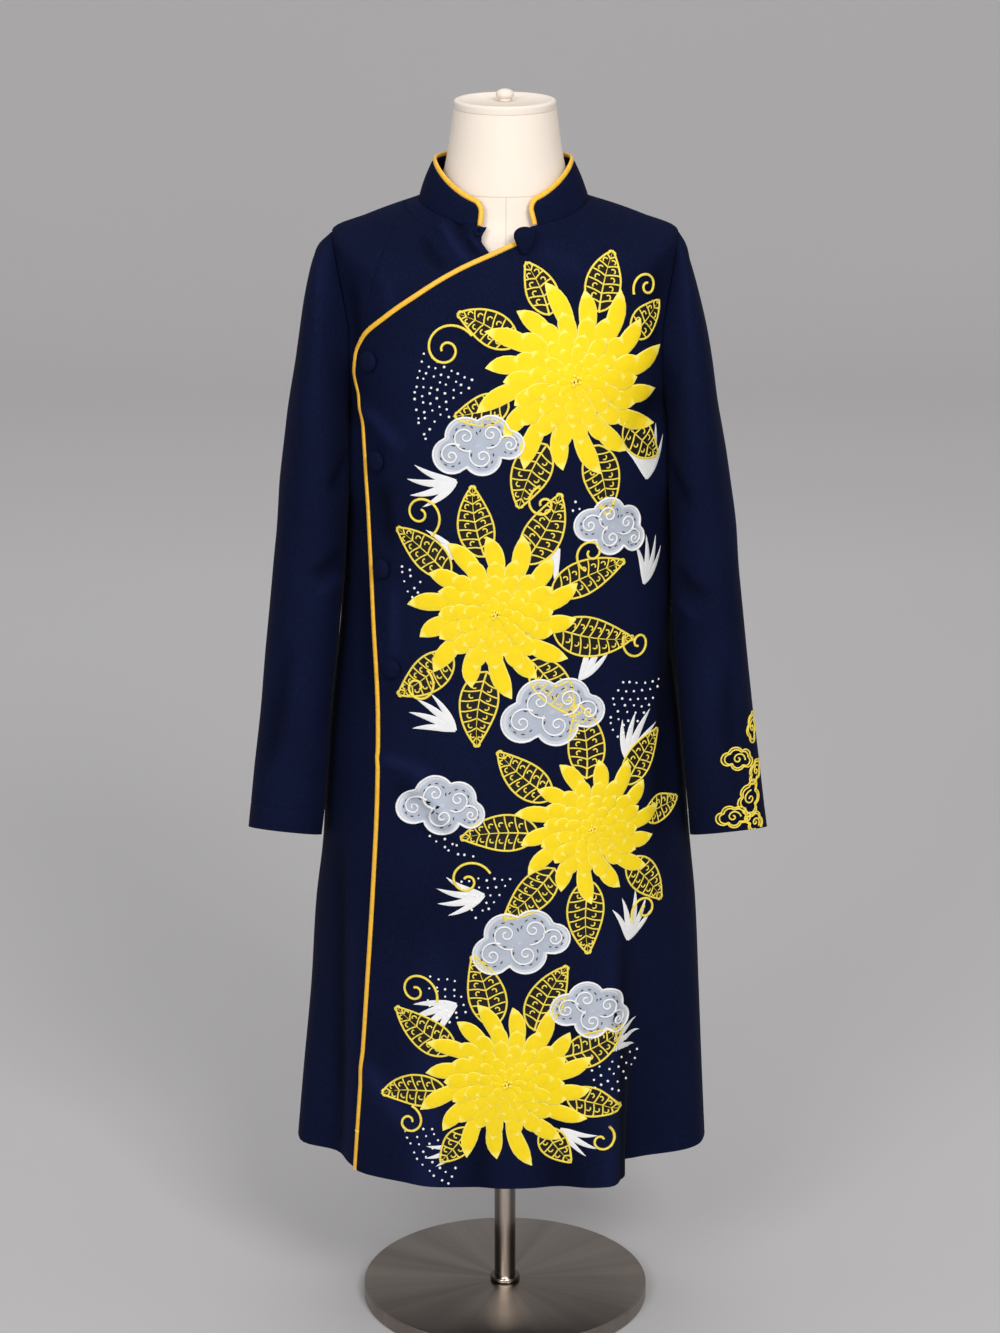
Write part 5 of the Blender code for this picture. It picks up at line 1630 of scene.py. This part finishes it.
def make_leaf(dark, net, gold, ground, x, z, angle, length, width, bend):
    """A dark leaf with a gold outline, midrib and net of veins."""
    frame = ground.frame(x, z)
    rows = 22
    turn = math.radians(angle)
    middle = []
    for i in range(rows + 1):
        t = i / rows
        lean = turn + math.radians(bend) * (t - 0.5)
        if i == 0:
            here = (0.0, 0.0)
        else:
            here = (middle[-1][0] + length / rows * math.cos(lean),
                    middle[-1][1] + length / rows * math.sin(lean))
        middle.append((*here, lean))

    def at(t, share):
        place = min(max(t, 0.0), 1.0) * rows
        i = min(int(place), rows - 1)
        part = place - i
        a = middle[i][0] + (middle[i + 1][0] - middle[i][0]) * part
        b = middle[i][1] + (middle[i + 1][1] - middle[i][1]) * part
        lean = middle[i][2]
        half = 0.5 * width * math.sin(math.pi * min(max(t, 0.0), 1.0) ** 0.75) ** 0.8 * share
        return a - math.sin(lean) * half, b + math.cos(lean) * half

    steps = [i / 26 for i in range(27)]
    outline = [at(t, 1.0) for t in steps] + [at(t, -1.0) for t in reversed(steps[1:-1])]
    dark.pad(frame, outline, LEAF_LIFT, ON_CLOTH)
    net.cord(frame, outline, LEAF_EDGE_CORD, LOW_LIFT, closed=True, rise=FLAT_CORD)
    gold.cord(frame, [at(i / 16, 0.0) for i in range(17)], MIDRIB_CORD, CORD_LIFT, taper=True,
              rise=FLAT_CORD)
    cells = max(round(length / VEIN_SPACING), 4)
    for i in range(1, cells):
        t = i / cells
        for side in (-1.0, 1.0):
            vein = []
            for k in range(7):
                s = k / 6
                vein.append(at(t + 0.11 * s - 0.05 * s * s, side * s * 0.97))
            net.cord(frame, vein, VEIN_CORD, CORD_LIFT, rise=VEIN_FLATNESS)
            a, b = at(t + 0.10, side * 0.46)
            lean = math.degrees(turn) + side * 40.0
            gold.cord(frame, arc_points(a, b, 0.0024, lean - 100.0, lean + 100.0, 8),
                      LOOP_STITCH_CORD, CORD_LIFT, rise=VEIN_FLATNESS)


def covered(x, z):
    """Whether a place lies under a blossom, a cloud or a leaf."""
    for name, middle_x, middle_z, radius, petals, turn in BLOSSOMS:
        if math.hypot(x - middle_x, z - middle_z) < 1.34 * radius:
            return True
    for name, middle_x, middle_z, size, tilt in CLOUDS:
        if math.hypot(x - middle_x, (z - middle_z) * 1.4) < 1.10 * size:
            return True
    for blossom, angle, length, width, bend in LEAVES:
        name, middle_x, middle_z, radius, petals, turn = BLOSSOMS[blossom]
        c, s = polar(1.0, angle)
        along = (x - middle_x) * c + (z - middle_z) * s - radius * LEAF_START - 0.5 * length
        aside = (z - middle_z) * c - (x - middle_x) * s
        if math.hypot(along / (0.55 * length), aside / (0.58 * width)) < 1.0:
            return True
    return False


def make_embroidery(ground):
    blossoms = [make_blossom(ground, *row) for row in BLOSSOMS]
    dark = Stitching(ground)
    net = Stitching(ground)
    gold = Stitching(ground)
    clouds = []
    cords = []
    for row in CLOUDS:
        filling, cord = make_cloud(ground, dark, *row)
        clouds.append(filling)
        cords.append(cord.build(row[0] + "_scrolls"))
    for blossom, angle, length, width, bend in LEAVES:
        name, x, z, radius, petals, turn = BLOSSOMS[blossom]
        a, b = polar(radius * LEAF_START, angle)
        make_leaf(dark, net, gold, ground, x + a, z + b, angle, length, width, bend)
    for x, z, radius, start, end, growth in TENDRILS:
        gold.cord(ground.frame(x, z), arc_points(0.0, 0.0, radius, start, end, 60, growth),
                  TENDRIL_CORD)
    blades = Stitching(ground)
    for x, z, direction, length, count, curl in SPRAYS:
        frame = ground.frame(x, z)
        for i in range(count):
            place = i - 0.5 * (count - 1)
            long = length * (1.0 - 0.11 * abs(place))
            blades.petal(frame, 0.0, 0.0, direction + 19.0 * place, long, 0.16 * long, 0.0001,
                         0.0003, curl, 0.3)
    knots = Stitching(ground)
    random = Random("knots")
    for x, z, direction, spread, near, far, rows in KNOT_FANS:
        for row in range(rows):
            reach = near + (far - near) * row / (rows - 1)
            count = max(round(math.radians(spread) * reach / KNOT_STEP), 2)
            for i in range(count):
                turn = direction + spread * ((i + 0.5) / count - 0.5) + random.uniform(-1.5, 1.5)
                a, b = polar(reach + random.uniform(-0.0012, 0.0012), turn)
                size = random.uniform(0.0011, 0.0015)
                if not covered(x + a, z + b):
                    knots.dot(ground.frame(x + a, z + b), 0.0, 0.0, size)
    pieces = [dark.build("dark_stitching"), net.build("leaf_nets"), gold.build("gold_cords"),
              blades.build("white_blades"), knots.build("white_knots")]
    return blossoms, clouds, cords, pieces


def make_cuff_scrolls(ground):
    """Gold outline clouds, each with a scroll, round the outer side of the left cuff."""
    stitched = Stitching(ground)
    for x, z, size, tilt in CUFF_CLOUDS:
        frame = ground.frame(x, z)
        for share in (1.0, 0.80):
            outline = [(a * share, b * share) for a, b in cloud_outline(size, tilt, 60)]
            stitched.cord(frame, outline, CUFF_CORD, closed=True)
        stitched.cord(frame, arc_points(0.0, 0.0, size * 0.46, tilt, tilt + 460.0, 30, 0.16),
                      CUFF_CORD)
    return stitched.build("cuff_scrolls")


# Materials


def linear(hex_colour):
    """A '#rrggbb' colour as linear red, green, blue and alpha."""
    parts = [int(hex_colour[i:i + 2], 16) / 255.0 for i in (1, 3, 5)]
    return (*[p / 12.92 if p <= 0.04045 else ((p + 0.055) / 1.055) ** 2.4 for p in parts], 1.0)


def start_material(name, **sockets):
    """A new material with its shader's uniform values set."""
    made = bpy.data.materials.new(name)
    made.use_nodes = True
    shader = made.node_tree.nodes["Principled BSDF"]
    for socket, value in sockets.items():
        shader.inputs[socket.replace("_", " ")].default_value = value
    return made, made.node_tree, shader


def add(tree, kind, inputs=None, **settings):
    """A node with its settings and inputs. An input may be a value or a socket."""
    made = tree.nodes.new(kind)
    for name, value in settings.items():
        setattr(made, name, value)
    for key, value in (inputs or {}).items():
        if isinstance(value, bpy.types.NodeSocket):
            tree.links.new(value, made.inputs[key])
        else:
            made.inputs[key].default_value = value
    return made


def bands(period):
    """Scale of a wave texture whose bands come once in so many metres."""
    return math.pi / (10.0 * period)


def mixed(tree, share, low, high):
    """A colour between two colours or sockets."""
    return add(tree, "ShaderNodeMix", {"Factor": share, 6: low, 7: high},
               data_type="RGBA").outputs[2]


def math_of(tree, operation, *values):
    return add(tree, "ShaderNodeMath", dict(enumerate(values)), operation=operation).outputs[0]


def range_of(tree, value, low, high, start=0.0, end=1.0, **settings):
    """A value moved from one range to another and kept inside it."""
    return add(tree, "ShaderNodeMapRange", {"Value": value, "From Min": low, "From Max": high,
                                            "To Min": start, "To Max": end}, **settings).outputs[0]


def noise_of(tree, place, scale, detail, **more):
    return add(tree, "ShaderNodeTexNoise",
               {"Vector": place, "Scale": scale, "Detail": detail, **more}).outputs["Fac"]


def threads_of(tree, place, rotation, period, distortion, detail_scale, **settings):
    """Fine parallel threads, turned and a little uneven."""
    turned = add(tree, "ShaderNodeMapping", {"Vector": place, "Rotation": rotation})
    return add(tree, "ShaderNodeTexWave", {"Vector": turned.outputs["Vector"],
                                           "Scale": bands(period), "Distortion": distortion,
                                           "Detail": 2.0, "Detail Scale": detail_scale},
               **settings).outputs["Fac"]


def object_place(tree):
    return add(tree, "ShaderNodeTexCoord").outputs["Object"]


def parts_of(tree, vector):
    return add(tree, "ShaderNodeSeparateXYZ", {"Vector": vector}).outputs


def dress(tree, shader, colour, height, strength, distance):
    """Gives a shader its colour and its fine relief."""
    tree.links.new(colour, shader.inputs["Base Color"])
    bump = add(tree, "ShaderNodeBump", {"Height": height, "Strength": strength,
                                        "Distance": distance})
    tree.links.new(bump.outputs["Normal"], shader.inputs["Normal"])


def wool_suiting(name, dark, light):
    """Navy worsted: a fine diagonal twill, faint fibre, and painted shade from the crease height, paler
    on the ridges and darker in the troughs.
    """
    made, tree, shader = start_material(name, Roughness=0.80, Sheen_Weight=0.008,
                                        Sheen_Roughness=0.45, Specular_IOR_Level=0.04)
    place = object_place(tree)
    twill = threads_of(tree, place, (0.0, 0.7, 0.3), 0.00085, 1.2, 1.5)
    weave = math_of(tree, "MULTIPLY", twill, noise_of(tree, place, 950.0, 4.0))
    fleck = range_of(tree, noise_of(tree, place, 420.0, 2.0), 0.3, 0.7, -0.20, 0.20)
    patchy = math_of(tree, "MULTIPLY", noise_of(tree, place, 9.0, 3.0), 0.45)
    # Painted shade: the stored crease height makes the cloth paler on its ridges and darker in its
    # troughs.
    relief = add(tree, "ShaderNodeAttribute", attribute_name="relief").outputs["Fac"]
    painted_crease_shade = range_of(tree, relief, -CREASE_REACH, CREASE_REACH, -CREASE_SHADE, CREASE_SHADE)
    share = weave
    for part in (fleck, patchy, painted_crease_shade):
        share = math_of(tree, "ADD", share, part)
    dress(tree, shader, mixed(tree, share, linear(dark), linear(light)), weave, 0.35, 0.00025)
    return made


def satin_binding(name, dark, light):
    """Bias cut satin rolled over a cord: slightly glossy, with small puckers."""
    made, tree, shader = start_material(name, Roughness=0.42, Sheen_Weight=0.12,
                                        Sheen_Roughness=0.4)
    place = object_place(tree)
    pucker = noise_of(tree, place, 210.0, 3.0)
    height = math_of(tree, "ADD", pucker, noise_of(tree, place, 1500.0, 2.0))
    dress(tree, shader, mixed(tree, pucker, linear(dark), linear(light)), height, 0.3, 0.0004)
    return made


def stitched_thread(name, dark, light, edge, slant=0.35, thread=0.0005, edge_from=0.86):
    """Silky satin stitch: threads lie across the shape, with a paler outlined edge."""
    made, tree, shader = start_material(name, Roughness=0.60, Sheen_Weight=0.03,
                                        Sheen_Roughness=0.35, Specular_IOR_Level=0.22)
    flat = add(tree, "ShaderNodeUVMap", uv_map="thread").outputs["UV"]
    rows = threads_of(tree, flat, (0.0, 0.0, slant), thread, 1.6, 1.2, bands_direction="Y")
    ridge = math_of(tree, "MULTIPLY", rows, 0.55)
    soft = math_of(tree, "MULTIPLY", noise_of(tree, object_place(tree), 70.0, 3.0), 0.65)
    colour = mixed(tree, math_of(tree, "ADD", ridge, soft), linear(dark), linear(light))
    rim = add(tree, "ShaderNodeAttribute", attribute_name="edge").outputs["Fac"]
    near = range_of(tree, rim, edge_from, min(edge_from + 0.06, 1.0))
    vein = range_of(tree, rim, 0.0, 0.07, 0.55, 0.0)
    colour = mixed(tree, math_of(tree, "MAXIMUM", near, vein), colour, linear(edge))
    dress(tree, shader, colour, rows, 0.5, 0.0003)
    return made


def stretched_cover(name, base, shade):
    """Smooth cream jersey over padding, with a seam round the neck's root and one down it."""
    made, tree, shader = start_material(name, Roughness=0.72, Sheen_Weight=0.10,
                                        Sheen_Roughness=0.5)
    place = object_place(tree)
    parts = parts_of(tree, place)

    def line(value, middle):
        away = math_of(tree, "ABSOLUTE", math_of(tree, "SUBTRACT", value, middle))
        return range_of(tree, away, 0.0, COVER_SEAM_WIDTH, 1.0, 0.0)

    root = line(parts["Z"], FORM_SEAM_LEVEL)
    below = math_of(tree, "LESS_THAN", parts["Z"], FORM_SEAM_LEVEL)
    down = math_of(tree, "MULTIPLY", line(parts["X"], 0.001), below)
    seam = math_of(tree, "MAXIMUM", root, down)
    shaded = math_of(tree, "MULTIPLY", noise_of(tree, place, 14.0, 2.0), 0.35)
    colour = mixed(tree, shaded, linear(base), linear(shade))
    dim = math_of(tree, "MULTIPLY", seam, 0.45)
    colour = mixed(tree, dim, colour, linear(COVER_SEAM_COLOUR))
    sunk = math_of(tree, "SUBTRACT", noise_of(tree, place, 700.0, 3.0), seam)
    dress(tree, shader, colour, sunk, 0.35, 0.0005)
    return made


def brushed_steel(name, base, roughness, stretch, streak_and_shade, turned, painted_bands=False):
    """Satin steel with fine lines, and a painted reflection that changes on the way round its axis:
    painted bands, pale where it faces front and back and dark at its sides, or painted highlights in
    wedge shapes.
    """
    made, tree, shader = start_material(name, Roughness=roughness, Metallic=1.0,
                                        Anisotropic=turned)
    place = object_place(tree)
    drawn = add(tree, "ShaderNodeMapping", {"Vector": place, "Scale": stretch})
    lines = noise_of(tree, drawn.outputs["Vector"], 1.0, 4.0)
    level = add(tree, "ShaderNodeVectorMath", {0: place, 1: (1.0, 1.0, 0.0)},
                operation="MULTIPLY")
    around = add(tree, "ShaderNodeVectorMath", {0: level.outputs[0]},
                 operation="NORMALIZE").outputs[0]
    # Painted reflection and shade: with painted bands the steel is pale where it faces front and back
    # and darker at its sides; otherwise random wedge shapes of painted highlight go round the axis.
    if painted_bands:
        aside = math_of(tree, "ABSOLUTE", parts_of(tree, around)["X"])
        painted_reflection = range_of(tree, aside, 0.10, 0.75, interpolation_type="SMOOTHSTEP")
    else:
        painted_highlight_wedges = noise_of(tree, around, 2.6, 5.0, Roughness=0.62)
        painted_reflection = range_of(tree, painted_highlight_wedges, 0.34, 0.66, 0.75, 0.0)
    share = math_of(tree, "ADD", painted_reflection, math_of(tree, "MULTIPLY", lines, 0.30))
    # The dark colour both of the brushed lines and of the painted shade.
    low = tuple(streak_and_shade * c for c in linear(base)[:3]) + (1.0,)
    dress(tree, shader, mixed(tree, share, linear(base), low), lines, 0.12, 0.0003)
    ring = add(tree, "ShaderNodeTangent", direction_type="RADIAL", axis="Z")
    tree.links.new(ring.outputs["Tangent"], shader.inputs["Tangent"])
    return made


def paper_sweep(name, near, far):
    """Matt paper, a little lighter away from the stand."""
    made, tree, shader = start_material(name, Roughness=0.85, Specular_IOR_Level=0.3)
    place = object_place(tree)
    back = range_of(tree, parts_of(tree, place)["Y"], 0.0, 3.0)
    dim = math_of(tree, "MULTIPLY", noise_of(tree, place, 1.2, 2.0), 0.03)
    colour = mixed(tree, dim, mixed(tree, back, linear(near), linear(far)), linear("#000000"))
    tree.links.new(colour, shader.inputs["Base Color"])
    return made


def make_looks():
    """The looks, by the short name of each."""
    return {
        "navy": wool_suiting("navy wool suiting", "#060a1d", "#111837"),
        "gold": satin_binding("gold satin binding", "#db9912", "#f7c638"),
        "yellow": stitched_thread("yellow embroidery thread", "#edc910", "#fcdf1a", "#fce96a",
                                  edge_from=0.84),
        "net": stitched_thread("gold net thread", "#e6c326", "#fae566", "#f5dd50"),
        "cord": stitched_thread("gold cord thread", "#ecc832", "#fbe772", "#f5dd50"),
        "black": stitched_thread("black ground thread", "#0d0c0c", "#191612", "#15120e"),
        "grey": stitched_thread("blue grey embroidery thread", "#959eae", "#bcc2ce", "#cdd1d9",
                                slant=1.1, thread=0.0007),
        "white": stitched_thread("white embroidery thread", "#d9d9da", "#f6f6f6", "#f4f4f4"),
        "cream": stretched_cover("cream jersey cover", "#ede0d2", "#e1d2c4"),
        "cap": stretched_cover("cream cap cover", "#e6dacd", "#d8ccc0"),
        "pole": brushed_steel("brushed steel of the pole", "#dfd2c6", 0.20,
                              (190.0, 190.0, 1.5), 0.19, 0.35, painted_bands=True),
        "base": brushed_steel("brushed steel of the base", "#a1978e", 0.29,
                              (14.0, 700.0, 14.0), 0.60, 0.80),
    }


def finish_with(made, look, node=None):
    made.data.materials.clear()
    made.data.materials.append(look)
    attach(made, "root")
    if node:
        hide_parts(node)


# Stage


def make_stage():
    """One pale sheet that runs from the floor up behind the form without a line."""
    profile = [(SWEEP_FLOOR, 0.0), (SWEEP_CURVE, 0.0)]
    for i in range(1, 25):
        turn = math.radians(90.0 * i / 24)
        profile.append((SWEEP_CURVE + SWEEP_RADIUS * math.sin(turn),
                        SWEEP_RADIUS * (1.0 - math.cos(turn))))
    profile.append((SWEEP_CURVE + SWEEP_RADIUS, SWEEP_TOP))
    points = [(side * SWEEP_HALF, y, z - 0.0005) for y, z in profile for side in (-1.0, 1.0)]
    faces = [(2 * i, 2 * i + 1, 2 * i + 3, 2 * i + 2) for i in range(len(profile) - 1)]
    sweep = mesh_object("studio_sweep", points, faces)
    sweep.data.materials.append(paper_sweep("pale paper sweep", STAGE_NEAR, STAGE_FAR))


def area_light(name, place, aim, size, power, colour):
    lamp = bpy.data.lights.new(name, "AREA")
    lamp.shape = "RECTANGLE"
    lamp.size = size[0]
    lamp.size_y = size[1]
    lamp.energy = power
    lamp.color = colour
    made = bpy.data.objects.new(name, lamp)
    made.location = place
    made.rotation_euler = (Vector(aim) - Vector(place)).to_track_quat("-Z", "Y").to_euler()
    bpy.context.collection.objects.link(made)


def make_light():
    world = bpy.data.worlds.new("soft room")
    world.use_nodes = True
    tree = world.node_tree
    room = tree.nodes["Background"]
    room.inputs["Color"].default_value = (1.0, 1.0, 1.0, 1.0)
    facing = add(tree, "ShaderNodeTexCoord").outputs["Generated"]
    aside = math_of(tree, "ABSOLUTE", parts_of(tree, facing)["X"])
    light = range_of(tree, aside, 0.25, 0.85, ROOM_LIGHT, SIDE_LIGHT)
    tree.links.new(light, room.inputs["Strength"])
    bpy.context.scene.world = world
    for row in LIGHTS:
        area_light(*row)


def make_camera():
    lens = bpy.data.cameras.new("camera")
    lens.lens = CAMERA_LENS
    lens.sensor_width = 36.0
    lens.shift_x = CAMERA_SHIFT
    camera = bpy.data.objects.new("camera", lens)
    camera.location = CAMERA_PLACE
    camera.rotation_euler = (math.radians(90.0 - CAMERA_TILT), 0.0, 0.0)
    bpy.context.collection.objects.link(camera)
    bpy.context.scene.camera = camera
    bpy.context.scene.view_settings.view_transform = "Standard"


def main():
    looks = make_looks()
    front, side, under, back, front_grid = make_body()
    left, left_grid = make_sleeve("left_sleeve", 1.0, SLEEVE_LEFT, SLEEVE_CREASES_LEFT)
    right, _ = make_sleeve("right_sleeve", -1.0, SLEEVE_RIGHT, SLEEVE_CREASES_RIGHT)
    collar, collar_binding = make_collar()
    front_binding = make_front_piping()
    cloth = (front, side, under, back, left, right, collar)
    for piece, row in zip(cloth, CUTS):
        finish_with(piece, looks["navy"], row[0])
    finish_with(collar_binding, looks["gold"], "collar_piping")
    finish_with(front_binding, looks["gold"], "front_piping")
    finish_with(make_tack("binding_tack"), looks["cord"])
    for number, button in enumerate(make_buttons(), start=1):
        finish_with(button, looks["navy"], f"button_{number}")
    finish_with(make_drop_button(), looks["navy"], "collar_button")
    finish_with(make_loop(), looks["navy"], "collar_loop")

    blossoms, clouds, cords, pieces = make_embroidery(Ground(front_grid))
    for made, rows, look, slot in ((blossoms, BLOSSOMS, "yellow", "yellow_stitching"),
                                   (clouds, CLOUDS, "grey", "blue_grey_stitching")):
        for piece, row in zip(made, rows):
            finish_with(piece, looks[look], row[0])
    for piece in cords:
        finish_with(piece, looks["white"])
    for piece, look in zip(pieces, ("black", "net", "cord", "white", "white")):
        finish_with(piece, looks[look])
    cuff = make_cuff_scrolls(Ground(left_grid))
    finish_with(cuff, looks["cord"])

    hard = (*make_neck_cap(), *make_stand(), make_torso())
    for piece, (node, look, slot) in zip(hard, (
            ("neck_cap", "cap", "cream_jersey"), ("cap_knob", "cap", "cream_jersey"),
            ("base", "base", "brushed_steel"), ("pole", "pole", "brushed_steel"),
            ("pole_flange", "pole", "brushed_steel"), ("form_torso", "cream", "cream_jersey"))):
        finish_with(piece, looks[look], node)

    make_stage()
    make_light()
    make_camera()


main()
